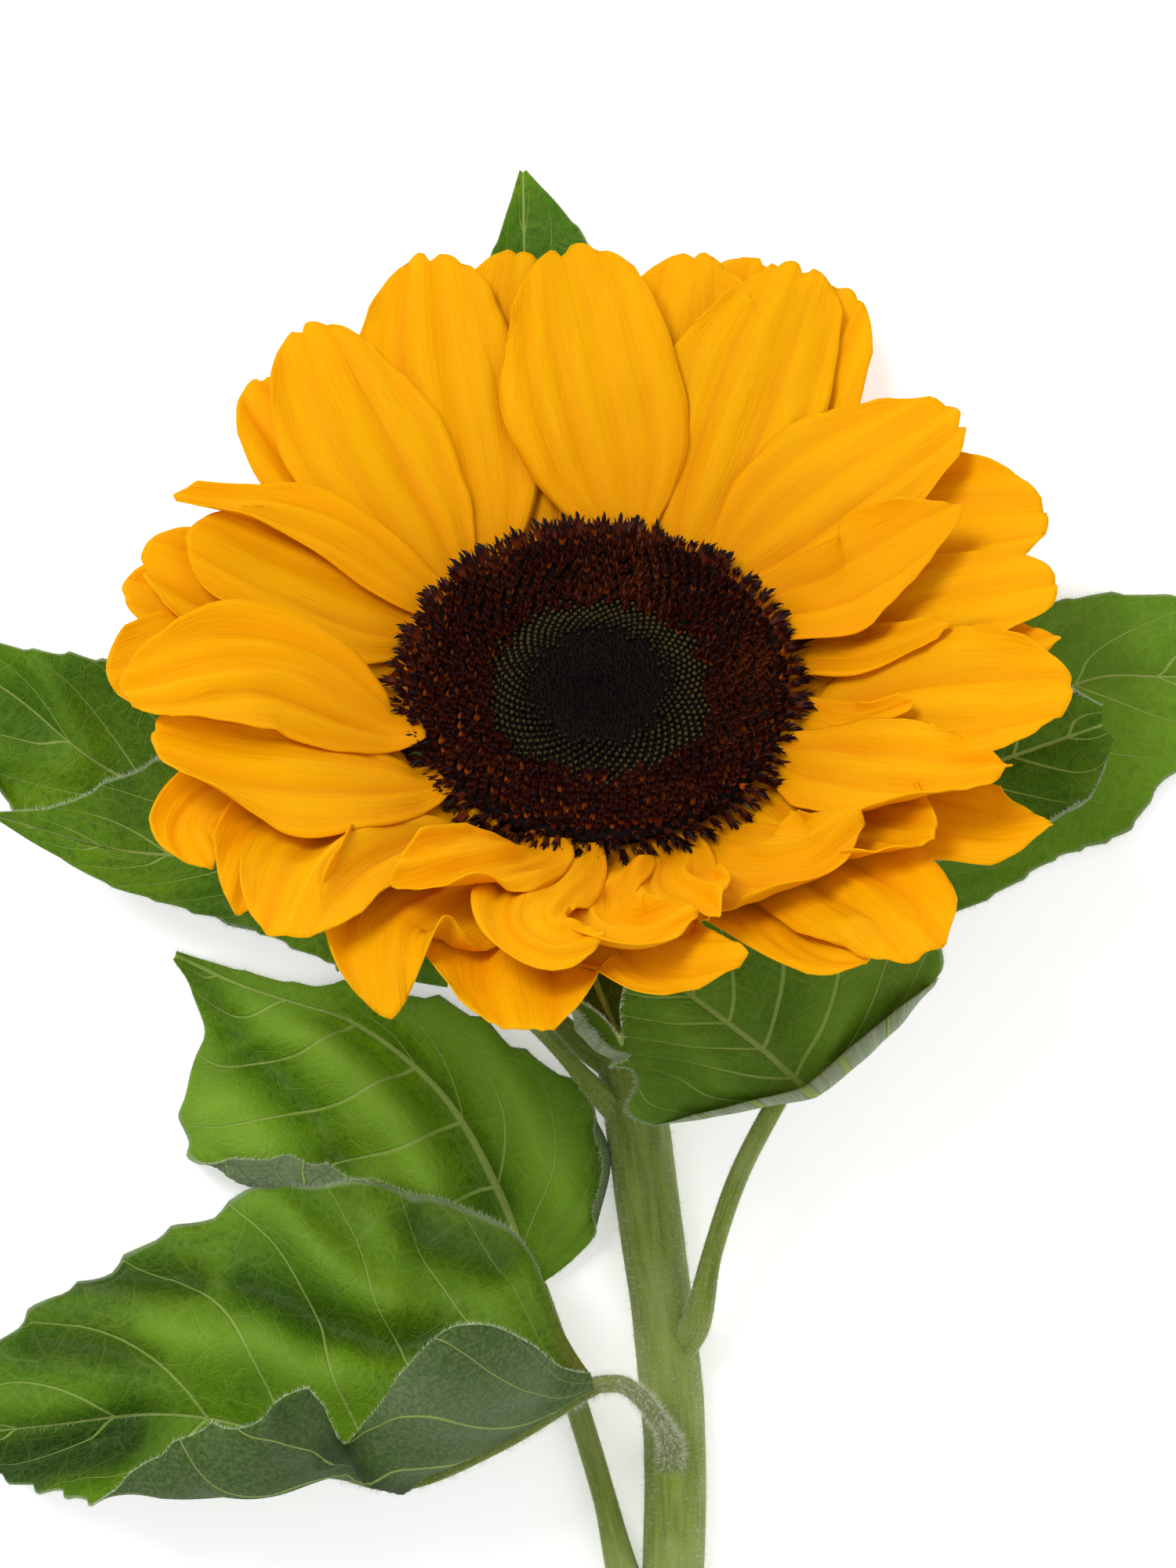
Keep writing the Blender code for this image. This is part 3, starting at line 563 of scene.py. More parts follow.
# %% The list of petals
# node, root azimuth, [(azimuth, radius, height)...], width, cup, tip, ribs, tone
PETALS = [
    ("deep_01", 24, [(20, 58, 2), (18, 79, 7)], 22, 0.3, "nick", 3, 0.3),
    ("deep_02", 97, [(90, 48.5, 4), (90, 67, 10)], 18, 0.4, "point", 3, 0.0),
    ("deep_03", 149, [(149, 48, 3), (147.5, 60, 6.5), (144, 66, 9)], 18, 0.4, "round", 3, -0.6),
    ("deep_04", -81, [(-79.5, 53, 2.5), (-81, 70.5, 7.5)], 22, 0.4, "round", 3, 0.6),
    (
        "deep_05", -128, [(-119, 44, 3), (-114.5, 58, 5.5), (-119, 66, 7.5), (-126, 67.5, 8.5)],
        16, 0.2, "tail", 2, 0.1,
    ),
    ("back_06", 15, [(12, 55, 3), (10.5, 77, 8)], 29, 0.4, "round", 4, 0.2),
    ("back_07", 34, [(31, 56, 3), (30, 78, 8)], 21, 0.4, "round", 3, 0.8),
    ("back_08", 59, [(62, 52, 3.5), (70.5, 70.5, 9)], 27.5, 0.3, "round", 4, 0.3),
    ("back_09", 84, [(81, 48, 3.5), (83, 67.5, 9)], 20, 0.5, "round", 3, 0.5),
    ("back_10", 114, [(119.5, 50, 3), (119, 63.6, 6), (116, 71.4, 8.5)], 18.5, 0.3, "tail", 3, 0.2),
    ("back_11", 140, [(138.5, 58, 3.5), (141, 71.8, 8)], 22, 0.3, "nick", 3, -0.2),
    ("back_12", -172, [(-167.5, 52, 5), (-172, 68.5, 11)], 29, 0.7, "round", 3, 0.2),
    (
        "back_13", -138, [(-128, 44.5, 2), (-126.5, 57, 4), (-130, 64, 5.5), (-133, 69, 5)],
        20, 0.3, "tail", 2, -0.2,
    ),
    ("back_14", -92, [(-90, 53, 3), (-96, 70.5, 8)], 21, 0.4, "round", 3, 0.1),
    ("back_15", -71, [(-77.5, 51, 4), (-77, 68.5, 10)], 23.5, 0.3, "nick", 3, 0.2),
    ("back_16", -54, [(-48.5, 55.5, 2), (-45.5, 73.8, 6)], 18.5, 0.3, "round", 3, 0.4),
    ("back_17", -14, [(-13, 55, 3), (-9, 76, 9)], 21, 0.3, "round", 3, 0.0),
    ("middle_18", -33, [(-25, 56.5, 5), (-19.5, 77.4, 10.5)], 27.5, 0.8, "nick", 4, 0.2),
    ("middle_19", -46, [(-41.5, 53, 4.5), (-36.5, 74, 10)], 24, 0.7, "nick", 4, 0.2),
    ("middle_20", 25, [(24, 54.5, 4.5), (23.5, 77.5, 10.5)], 25.5, 0.8, "nick", 4, 0.5),
    ("middle_21", 41, [(48, 49.5, 3.8), (52.5, 68, 10.5)], 26, 0.6, "nick", 4, 0.2),
    ("middle_22", 105, [(102, 42.5, 2), (101, 57, 6.5), (100.5, 69, 10.5)], 28, 0.7, "round", 3, 0.2),
    ("middle_23", 124, [(128.5, 45, 3), (128.5, 54, 7), (127.5, 60, 11)], 19, 0.8, "round", 3, 0.3),
    ("middle_24", 174, [(174.5, 43, 1.5), (170, 54, 6.5), (159.5, 60, 11)], 22, 0.7, "tail", 3, -0.4),
    (
        "middle_25", -156, [(-150, 44.5, 3), (-147.5, 55.5, 6.5), (-150, 62, 7), (-154.5, 68.5, 3.5)],
        29, 0.5, "tail", 3, 0.0,
    ),
    ("middle_26", -141, [(-135, 41.5, 2), (-136, 54, 6), (-142, 70, 9.5)], 25.5, 0.6, "round", 3, 0.2),
    ("middle_27", -124, [(-117, 47.5, 4), (-108.8, 67, 10.5)], 26, 0.7, "round", 4, 0.1),
    ("middle_28", 149, [(148.5, 41.5, 3), (141, 47.5, 7.5), (131.5, 50, 12.5)], 21, 1.0, "tail", 2, -0.9),
    ("middle_29", -66, [(-72, 48.5, 4.5), (-74, 63, 11.5)], 23.5, 0.8, "round", 4, 0.0),
    ("middle_30", 77, [(85, 39, 0.5), (86.5, 51, 7)], 10.5, 0.4, "point", 2, -0.4),
    ("front_31", 6, [(-1, 51, 5.5), (-4.5, 74, 12)], 27.5, 1.5, "nick", 5, 0.2),
    ("front_32", 60, [(69, 39.5, 5), (70, 57, 14.5)], 20.5, 1.2, "tail", 3, -1.0),
    ("front_33", 99, [(104.5, 38.5, 2), (103, 46, 8)], 5.5, 0.6, "point", 1, 0.0),
    ("front_34", 115, [(119, 44, 4.5), (118.5, 55, 9), (116, 65.5, 13)], 19.5, 1.0, "tail", 3, 0.3),
    ("front_35", 159, [(164, 38.5, 1), (163, 45.5, 6.5), (161.5, 54, 12)], 13, 0.9, "tail", 2, -0.1),
    (
        "front_36", 173, [(-178.5, 39.5, 3), (180, 48, 9), (173.5, 52.5, 12), (164.5, 52, 14)],
        13.5, 0.9, "tail", 2, -0.1,
    ),
    (
        "front_37", -174, [(-168, 45, 6), (-169, 52, 10.5), (-174, 55.5, 12.5), (-181, 54, 13.5)],
        15.5, 0.9, "tail", 2, 0.2,
    ),
    ("front_38", -165, [(-159.5, 39, 3), (-153, 46.5, 8.5), (-148, 53.5, 12.5)], 15, 1.2, "tail", 3, 0.2),
    ("front_39", -106, [(-98.5, 48.5, 5.5), (-102.8, 69, 12.5)], 23, 1.2, "round", 4, 0.0),
    ("front_40", -55, [(-59.5, 49, 5.5), (-70, 66.5, 13.5)], 11.5, 0.9, "point", 3, 0.0),
]
print(len(PETALS), "petals listed")

# %% [markdown]
# ## The outline of a petal
#
# Every petal starts as a narrow foot tucked under the disc, swells, and narrows again to its tip. The kinds
# of tip could be four separate shapes. Here a tip is only how far each point across it is pulled back from
# the end: a lot at the corners of a pointed tip, evenly on a round one, and in the middle of one that is
# nicked. So one grid serves for all four.

# %% Feet, outline and tips
ROOT_HEIGHT = {"deep": -7.0, "back": -5.9, "middle": -4.8, "front": -3.7}
ROOT_RADIUS = 26.7
ROOT_WIDTH = 6.5
PETAL_OUTLINE = [
    (0, 0), (0.06, 0.12), (0.16, 0.5), (0.3, 0.86), (0.47, 1.0), (0.66, 1.03), (0.84, 0.92), (1, 0.68),
]
PETAL_COLUMNS, PETAL_ROWS = 24, 46
PETAL_THICKNESS = 0.22 * MM
PETAL_CLEARANCE = 0.3 * MM
PETAL_FOOT_ROWS = 4  # rows at the foot that stay put when the petal is laid over others
# How far back from the end each kind of tip is pulled at its corners, as a share of the petal's width,
# the power that sharpens it, the depth of the nicks, and how much the petal narrows towards it.
TIPS = {
    "round": (0.32, 2.1, 0.025, 0.06),
    "point": (0.36, 1.3, 0.0, 0.4),
    "nick": (0.3, 2.1, 0.055, 0.06),
    "tail": (0.46, 1.3, 0.0, 0.15),
}
print("a petal is widest at", max(PETAL_OUTLINE, key=lambda line: line[1])[0], "of its length")

# %% [markdown]
# ## Wilting
#
# A cut flower's petals crumple as they dry: they twist, roll at the sides, bend at the end and wrinkle along
# their length. Those on top and those below the disc have moved the most. Chance decides each petal's share
# of it, from a seed of its own, so a change to one petal leaves the others as they are.

# %% How a petal crumples
CRUMPLE = {"deep": 0.7, "back": 0.7, "middle": 0.9, "front": 1.1}
LOW_PETAL = 115  # petals whose ends are further round than this hang below the disc
LOW_CRUMPLE = 1.7
# How close wrinkles are across and along a petal, how far one petal's differ from the next one's, and
# their height in millimetres: broad ones first, then fine ones.
WRINKLES = [(0.34, 0.045, 3.7, 0.75), (0.8, 0.09, 5.1, 0.5)]
GROOVE_AT, GROOVE_WIDTH = 0.36, 0.06
NICK_WIDTH = 0.09


def petal_habit(rank, row, end_azimuth):
    """What chance gives one petal; the order of the draws is part of its look."""
    chance = random.Random(rank)
    habit = {"nick_at": chance.uniform(-0.3, 0.3)}
    habit["side_nick_at"] = habit["nick_at"] + chance.choice((-0.5, 0.5))
    habit["rib_shift"] = chance.uniform(-0.6, 0.6)
    habit["wave_shift"] = chance.uniform(0, math.tau)
    habit["lean"] = chance.uniform(-0.25, 0.25)
    crumple = CRUMPLE[row] * (LOW_CRUMPLE if abs(end_azimuth) > LOW_PETAL else 1.0)
    habit["crumple"] = crumple
    habit["twist"] = chance.uniform(-0.12, 0.12) * crumple
    habit["end_bend"] = chance.uniform(-0.03, 0.07) * crumple
    habit["rolls"] = {side: chance.uniform(-0.04, 0.13) * crumple for side in (-1, 1)}
    habit["ridge_at"] = chance.uniform(-0.45, 0.45)
    habit["ridge"] = chance.uniform(0.02, 0.06) * crumple
    return habit


def bell(distance, spread):
    """1 at no distance, falling away smoothly on both sides."""
    return math.exp(-((distance / spread) ** 2))


print("the first petal's twist:", round(petal_habit(0, "deep", 18)["twist"], 4))

# %% [markdown]
# ## The petal's grid
#
# Each point of the grid is first moved to its place on the flat outline, along the petal's middle line and
# out from it. What stands up from that outline, such as ribs, waves and wrinkles, is kept apart as a relief
# and added only after the outline has been seated in its solid. Otherwise the seating would press it flat.

# %% Seating in the solid
NEAR_ROWS = (4, 1)  # a point beside the solid takes its shift from a row near by rather than a column


def seat_on_solid(sheet, node, up):
    """Shifts a sheet along up to the middle of its CAD solid, evening out the solid's facets."""
    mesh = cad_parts[node].data
    tree = BVHTree.FromPolygons([v.co for v in mesh.vertices], [p.vertices for p in mesh.polygons])
    shift = np.full((sheet.rows, sheet.columns), np.nan)
    for i, j, t, s in sheet.places():
        point = sheet.grid[i][j].co
        above = tree.ray_cast(point + up * CAST_REACH, -up)[0]
        below = tree.ray_cast(point - up * CAST_REACH, up)[0]
        if above is not None and below is not None:
            shift[i, j] = ((above + below) / 2 - point).dot(up)
    known = np.argwhere(~np.isnan(shift))
    for i, j in np.argwhere(np.isnan(shift)):
        nearest = known[np.argmin(((known - (i, j)) ** 2 * NEAR_ROWS).sum(axis=1))]
        shift[i, j] = shift[tuple(nearest)]
    shift = smooth_field(shift, None, SMOOTHING_PASSES, 0)
    for i, j, t, s in sheet.places():
        sheet.grid[i][j].co += up * shift[i, j]


# %% One petal
def petal_rib(ribs, habit, s):
    """Height of the ribs from -1 to 1: fine waves between two main grooves."""
    waves = math.cos(math.pi * (ribs * s + habit["rib_shift"]))
    return 0.6 * waves - 0.9 * sum(bell(s - side * GROOVE_AT, GROOVE_WIDTH) for side in (-1, 1))


def petal_nicks(habit, s):
    """1 at the tip's main nick, and less at a smaller one beside it."""
    return bell(s - habit["nick_at"], NICK_WIDTH) + 0.35 * bell(s - habit["side_nick_at"], NICK_WIDTH)


def petal_rise(rank, habit, width, half, cup, ribs, length, place, t, s):
    """How far a point of a petal stands up from its outline, in millimetres."""
    side = 1 if s > 0 else -1
    rise = cup * step_up(place, 0.0, 0.7) * (s * s - 0.3)
    rise += petal_rib(ribs, habit, s) * 0.07 * half * (1 - 0.65 * place) * step_up(place, 0.02, 0.25)
    waved_margin = abs(s) ** 3 * step_up(place, 0.3, 0.8)
    rise += waved_margin * 0.035 * width * math.sin(9 * place + habit["wave_shift"] + 2 * s)
    rise += width * s * s * habit["rolls"][side] * step_up(t, 0.4, 1.0)
    rise += width * (habit["end_bend"] - 0.035 * petal_nicks(habit, s)) * step_up(t, 0.65, 1.0)
    rise += width * habit["ridge"] * bell(s - habit["ridge_at"], 0.2) * step_up(t, 0.15, 0.6)
    rise += habit["twist"] * s * half * step_up(t, 0.25, 1.0)
    for across, lengthwise, shift, height in WRINKLES:
        wrinkled = Vector((s * half * across, t * length / MM * lengthwise, shift * rank))
        rise += noise.noise(wrinkled) * height * habit["crumple"] * step_up(t, 0.08, 0.4)
    return rise


def petal_sheet(rank, row, root, line, width, cup, tip, ribs, tone):
    """The grid of one petal along its middle line, and the relief that is added once it is seated."""
    habit = petal_habit(rank, row, line[-1][0])
    height = ROOT_HEIGHT[row]
    middle_line = [head_point(root, ROOT_RADIUS, height), head_point(root, ROOT_RADIUS + 5, height + 0.5)]
    middle_line += [head_point(*place) for place in line]
    length = length_of(middle_line)
    pull, power, nick, taper = TIPS[tip]
    sheet = Sheet(PETAL_COLUMNS, PETAL_ROWS, ("across_mm", "along_mm", "groove", "tone"))
    relief = []
    for i, j, t, s in sheet.places():
        back = width * (pull * abs(s - habit["lean"] * 0.5) ** power + nick * petal_nicks(habit, s))
        place = max(t - back * MM / length * step_up(t, 0.35, 1.0), 0.0)
        ahead = heading(middle_line, place)
        across = ahead.cross(face_normal).normalized()
        half = (ROOT_WIDTH + (width - ROOT_WIDTH) * smooth_table(PETAL_OUTLINE, t)) / 2
        half *= 1 - taper * step_up(t, 0.45, 1.0)
        uneven = math.sin(8 * t + habit["wave_shift"] + (2 if s > 0 else 0))
        half *= 1 + 0.04 * uneven * step_up(t, 0.2, 0.5)
        sheet.grid[i][j].co = along(middle_line, place) + across * s * half * MM
        rise = petal_rise(rank, habit, width, half, cup, ribs, length, place, t, s)
        relief.append(across.cross(ahead) * rise * MM)
    sheet.store("across_mm", lambda t, s: s * width / 2)
    sheet.store("along_mm", lambda t, s: t * length / MM)
    sheet.store("groove", lambda t, s: max(0.0, -petal_rib(ribs, habit, s)) * (1 - 0.7 * t))
    sheet.store("tone", lambda t, s: tone)
    return sheet, relief


# %% Make the petals and lay them over each other
WORTH_TELLING = 0.7 * MM
petal_pile = Pile()
for rank, (name, root, line, width, cup, tip, ribs, tone) in enumerate(PETALS):
    sheet, relief = petal_sheet(rank, name.split("_")[0], root, line, width, cup, tip, ribs, tone)
    seat_on_solid(sheet, "petal_" + name, face_normal)
    for (i, j, t, s), offset in zip(sheet.places(), relief):
        sheet.grid[i][j].co += offset
    lifted = lay_over(sheet, petal_pile, face_normal, PETAL_CLEARANCE, PETAL_FOOT_ROWS)
    petal_pile.add(sheet)
    piece = sheet.finish("ray_petal_" + name, PETAL_THICKNESS, petal_upper, petal_under, face_normal)
    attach(piece, ROOT)
    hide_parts("petal_" + name)
    if lifted > WORTH_TELLING:
        print(name, "was lifted", round(lifted / MM, 2), "mm")
print(len(PETALS), "petals")

# %% [markdown]
# ## The veins of a leaf
#
# A sunflower's leaf has a pale midrib, seven side veins on each half that curve towards the tip, and a fine
# net between them. A drawn picture of veins blurs up close. Here the side veins come from a number stored on
# the mesh, the vein phase, which is whole along every vein and grows by one from a vein to the next, so the
# lines stay sharp at any size. The net is two sizes of Voronoi cell, pushed about a little by noise.


# %% Vein masks
def vein_lines(paint, midrib_width, side_width):
    """Two masks: the main veins, and the fine net between them. Widths are in millimetres."""
    phase, across, length = (paint.stored(number) for number in ("phase", "across_mm", "along_mm"))
    off_vein = paint.calc("ABSOLUTE", paint.calc("SUBTRACT", phase, paint.calc("ROUND", phase)))
    distance = paint.times(off_vein, paint.stored("gap_mm"))
    thinner = paint.times(paint.rise(paint.stored("margin"), 0.1, 1.0), -0.65 * side_width)
    width = paint.calc("ADD", thinner, side_width)
    side_veins = paint.flipped(paint.rise(paint.calc("DIVIDE", distance, width), 0.35, 1.0))
    thinner = paint.times(paint.rise(length, 0.0, 75.0), -0.6 * midrib_width)
    midrib = paint.calc("DIVIDE", paint.calc("ABSOLUTE", across), paint.calc("ADD", thinner, midrib_width))
    veins = paint.calc("MAXIMUM", side_veins, paint.flipped(paint.rise(midrib, 0.5, 1.0)))
    wobble = paint.noise(160, 2.0)
    pushed_across = paint.calc("MULTIPLY_ADD", wobble, 2.0, across)
    pushed_along = paint.calc("MULTIPLY_ADD", wobble, -2.0, length)
    pushed = paint.combine(pushed_across, pushed_along)
    coarse = paint.flipped(paint.rise(paint.cells(0.2, pushed), 0.0, 0.05))
    fine = paint.flipped(paint.rise(paint.cells(0.9, pushed), 0.0, 0.14))
    return veins, paint.calc("MAXIMUM", paint.times(coarse, 0.6), paint.times(fine, 0.4))


# %% [markdown]
# ## The leaves' finishes
#
# A leaf is rough and thin: deep green and patchy above, grey-green and woolly beneath, with light glowing
# through. One finish for both sides would lose that, so each side has its own. Three numbers stored on the
# blade change it from place to place: shade is painted shade, which makes whole blades, valleys and dark
# strokes deeper and, below 0, paints blades, ridges and bright strokes sunlit; silver adds wool, and brown
# rust.

# %% Leaf green, above and beneath
LEAF_GREEN = rgb(66, 104, 4)
LEAF_BRIGHT = rgb(106, 144, 8)
LEAF_SUNLIT = rgb(114, 152, 36)
# deep green for darker patches, also used for painted shade in valleys and dark strokes
LEAF_DEEP_AND_SHADE = rgb(36, 62, 10)
LEAF_BROWN = rgb(98, 78, 30)
VEIN_PALE = rgb(150, 170, 84)
# silver of the woolly underside, also used for painted light on ridges and bright strokes
UNDER_SILVER_AND_SUNLIT = rgb(150, 162, 134)
# painted shade on the underside
UNDER_PAINTED_SHADE = rgb(38, 50, 24)
UNDER_GREEN = rgb(58, 82, 34)
UNDER_GREY = rgb(90, 108, 62)


def leaf_upper_finish():
    paint = Finish(
        "leaf_upper",
        Specular_IOR_Level=0.12,
        Subsurface_Weight=0.12,
        Subsurface_Scale=0.0015,
        Subsurface_Radius=(0.5, 1.0, 0.1),
    )
    veins, net = vein_lines(paint, midrib_width=0.8, side_width=0.38)
    shade, grain = paint.stored("shade"), paint.noise(900, 2.0)
    colour = paint.over(LEAF_GREEN, LEAF_BRIGHT, paint.rise(paint.noise(45, 3.0), 0.35, 0.7))
    colour = paint.over(colour, LEAF_DEEP_AND_SHADE, paint.rise(paint.noise(22, 2.0), 0.42, 0.66), 0.5)
    colour = paint.over(colour, LEAF_BROWN, paint.stored("brown"))
    colour = paint.over(colour, LEAF_DEEP_AND_SHADE, paint.rise(grain, 0.45, 0.75), 0.4)
    # painted shade: shade above 0 paints valleys, dark strokes and whole blades deeper green, and below 0
    # paints ridges, bright strokes and whole blades sunlit
    colour = paint.over(colour, LEAF_DEEP_AND_SHADE, shade)
    colour = paint.over(colour, LEAF_SUNLIT, shade, -1.0)
    colour = paint.over(colour, VEIN_PALE, net, 0.19)
    colour = paint.over(colour, VEIN_PALE, veins, 0.65)
    colour = paint.over(colour, UNDER_SILVER_AND_SUNLIT, paint.rise(paint.stored("margin"), 0.97, 0.995), 0.5)
    relief = paint.calc("ADD", paint.times(net, -0.8), paint.times(grain, 0.8))
    paint.bump(paint.calc("MULTIPLY_ADD", veins, -1.2, relief), 0.00022, 0.7)
    return paint.done(colour, paint.calc("MULTIPLY_ADD", grain, 0.2, 0.42))


def leaf_under_finish():
    paint = Finish(
        "leaf_under",
        Roughness=0.8,
        Specular_IOR_Level=0.1,
        Sheen_Weight=0.05,
        Subsurface_Weight=0.1,
        Subsurface_Scale=0.0015,
        Subsurface_Radius=(0.5, 1.0, 0.2),
    )
    veins, net = vein_lines(paint, midrib_width=1.1, side_width=0.6)
    shade, wool = paint.stored("shade"), paint.noise(1500, 3.0)
    colour = paint.over(UNDER_GREEN, UNDER_GREY, paint.rise(wool, 0.35, 0.7))
    # painted shade and light on the underside: shade above 0 darkens it, and below 0 paints it lighter,
    # towards silver
    colour = paint.over(colour, UNDER_PAINTED_SHADE, shade, 0.8)
    colour = paint.over(colour, UNDER_SILVER_AND_SUNLIT, shade, -0.6)
    colour = paint.over(colour, UNDER_SILVER_AND_SUNLIT, paint.stored("silver"))
    colour = paint.over(colour, LEAF_GREEN, net, 0.45)
    colour = paint.over(colour, VEIN_PALE, veins, 0.75)
    relief = paint.calc("ADD", paint.times(net, 0.8), paint.times(wool, 0.7))
    paint.bump(paint.calc("MULTIPLY_ADD", veins, 1.8, relief), 0.0003, 0.8)
    return paint.done(colour)


leaf_upper = leaf_upper_finish()
leaf_under = leaf_under_finish()
print("two leaf finishes")

# %% [markdown]
# ## The stem's skin and the hairs
#
# The stem is paler and yellower than the leaves, with fine darker streaks running down it and a dusty bloom.
# Wood-like rings or plain noise would run the wrong way, so the streaks are noise drawn in numbers stored on
# the tube: how far round and how far along it a point is. Some leaf stalks are flushed a dull purple-brown.
# The hairs are pale and a little glossy, and only as wide as a real hair.

# %% Stem green and the hairs
STEM_GREEN = rgb(122, 140, 48)
STEM_PALE = rgb(164, 176, 112)
STEM_DEEP = rgb(96, 116, 26)
STALK_FLUSH = rgb(108, 98, 76)
HAIR_WHITE = rgb(222, 228, 205)


def stem_finish():
    paint = Finish(
        "stem_skin",
        Roughness=0.6,
        Specular_IOR_Level=0.25,
        Sheen_Weight=0.15,
        Subsurface_Weight=0.15,
        Subsurface_Scale=0.003,
        Subsurface_Radius=(0.6, 1.0, 0.2),
    )
    around, length = paint.stored("around"), paint.stored("along_mm")
    streaks = paint.noise(1.6, 3.0, paint.combine(paint.times(around, 9.0), paint.times(length, 0.06)))
    specks = paint.noise(700, 2.0)
    colour = paint.over(STEM_GREEN, STEM_DEEP, paint.rise(streaks, 0.35, 0.7))
    colour = paint.over(colour, STEM_PALE, paint.rise(paint.noise(60, 2.0), 0.4, 0.7), 0.35)
    colour = paint.over(colour, STEM_PALE, paint.rise(specks, 0.55, 0.8), 0.25)
    colour = paint.over(colour, STALK_FLUSH, paint.stored("flush"))
    paint.bump(paint.calc("MULTIPLY_ADD", specks, 0.4, streaks), 0.0002, 0.5)
    return paint.done(colour)


stem_skin = stem_finish()
hair_white = Finish("plant_hair", Roughness=0.55, Specular_IOR_Level=0.4).done(HAIR_WHITE)
print("a finish for stalks and one for hairs")

# %% [markdown]
# ## Stalks
#
# The stem and every leaf stalk is a tube. A curve with a round bevel would do for the tube alone, but the
# finish needs to know how far round and along each point is. So the first ring is a circle operator, and
# each next ring is an extrusion that is moved into place along the stalk's line. A leaf stalk has a shallow
# channel along its top, and runs on as the midrib under its blade.
#
# Extrusions and spins hand back corners and faces in an order that changes from run to run. Hairs are later
# picked by that order, so each such mesh is first put in an order of its own: ring by ring, and round each.

# %% The tube
UP = Vector((0, 0, 1))
CHANNEL_WIDTH = 0.55
STALK_EDGE = math.radians(60)


def moved_ring(corners, middle, ahead, radius, channel):
    """Lays a ring of corners square to the stalk's line, with its channel uppermost."""
    side = ahead.cross(UP)
    side = side.normalized() if side.length > 0.05 else Vector((1, 0, 0))
    over = side.cross(ahead)
    for k, corner in enumerate(corners):
        angle = math.tau * k / len(corners)
        reach = radius * (1 - channel * bell(angle - math.pi / 2, CHANNEL_WIDTH))
        corner.co = middle + (side * math.cos(angle) + over * math.sin(angle)) * reach


def ring_edges(builder, ring):
    return [builder.edges.get((ring[k], ring[(k + 1) % len(ring)])) for k in range(len(ring))]


def next_ring(builder, ring):
    """Extrudes a ring's edges, and returns the new corners in the same order."""
    made = bmesh.ops.extrude_edge_only(builder, edges=ring_edges(builder, ring))["geom"]
    fresh = {item for item in made if isinstance(item, bmesh.types.BMVert)}
    across_edges = [[edge.other_vert(corner) for edge in corner.link_edges] for corner in ring]
    return [next(corner for corner in others if corner in fresh) for others in across_edges]


def in_order(builder, ranks):
    """The same mesh made again, its corners in the order of their ranks and its faces by their corners."""
    fresh = bmesh.new()
    numbers = builder.verts.layers.float
    layers = [(numbers[name], fresh.verts.layers.float.new(name)) for name in numbers.keys()]
    corners = sorted(builder.verts, key=ranks.get)
    copies = [fresh.verts.new(corner.co) for corner in corners]
    for corner, copy in zip(corners, copies):
        for layer, fresh_layer in layers:
            copy[fresh_layer] = corner[layer]
    index = {corner: k for k, corner in enumerate(corners)}
    loops = []
    for face in builder.faces:
        loop = [index[corner] for corner in face.verts]
        first = loop.index(min(loop))
        loops.append(loop[first:] + loop[:first])
    for loop in sorted(loops):
        fresh.faces.new([copies[k] for k in loop])
    builder.free()
    return fresh


def tube(name, path, radii, sides, finish, channel=0.0, flush_at=None, square=None):
    """A closed tube through all the points of a path, with a radius at each."""
    builder = bmesh.new()
    ranks = {}
    around, along_mm, flush = (builder.verts.layers.float.new(n) for n in ("around", "along_mm", "flush"))
    ring = bmesh.ops.create_circle(builder, cap_ends=False, segments=sides, radius=1.0)["verts"]
    ring.sort(key=lambda v: math.atan2(v.co.y, v.co.x) % math.tau)
    foot_ring = ring
    travelled = 0.0
    for i, middle in enumerate(path):
        if i:
            ring = next_ring(builder, ring)
            travelled += (middle - path[i - 1]).length / MM
        ahead = (path[min(i + 1, len(path) - 1)] - path[max(i - 1, 0)]).normalized()
        if i == 0 and square is not None:
            ahead = square
        moved_ring(ring, middle, ahead, radii[i], channel)
        for k, corner in enumerate(ring):
            ranks[corner] = (i, k)
            corner[around] = abs(2 * k / sides - 1)
            corner[along_mm] = travelled
            corner[flush] = 0.0 if flush_at is None else flush_at(i / (len(path) - 1))
    builder.faces.new(foot_ring[::-1])
    builder.faces.new(ring)
    bmesh.ops.recalc_face_normals(builder, faces=builder.faces)
    mesh = mesh_of(in_order(builder, ranks), name, finish)
    mesh.set_sharp_from_angle(angle=STALK_EDGE)
    return add_object(name, mesh)


# %% Joining objects
def one_piece(name, objects):
    """Bakes the modifiers of several objects and joins them into one piece."""
    graph = bpy.context.evaluated_depsgraph_get()
    for obj in objects:
        baked = bpy.data.meshes.new_from_object(obj.evaluated_get(graph))
        obj.modifiers.clear()
        obj.data = baked
    with bpy.context.temp_override(active_object=objects[0], selected_editable_objects=objects):
        bpy.ops.object.join()
    objects[0].name = name
    return objects[0]


# %% [markdown]
# ## The stem
#
# The stem leaves the receptacle square to the disc, bends down to the table, and lies along it to a slanted
# cut. A plain tube looks like plastic pipe, so every point of it is then moved in or out a little: shallow
# ribs run down it, and noise makes it slightly rough and uneven. Its end is sheared, as a knife leaves it.

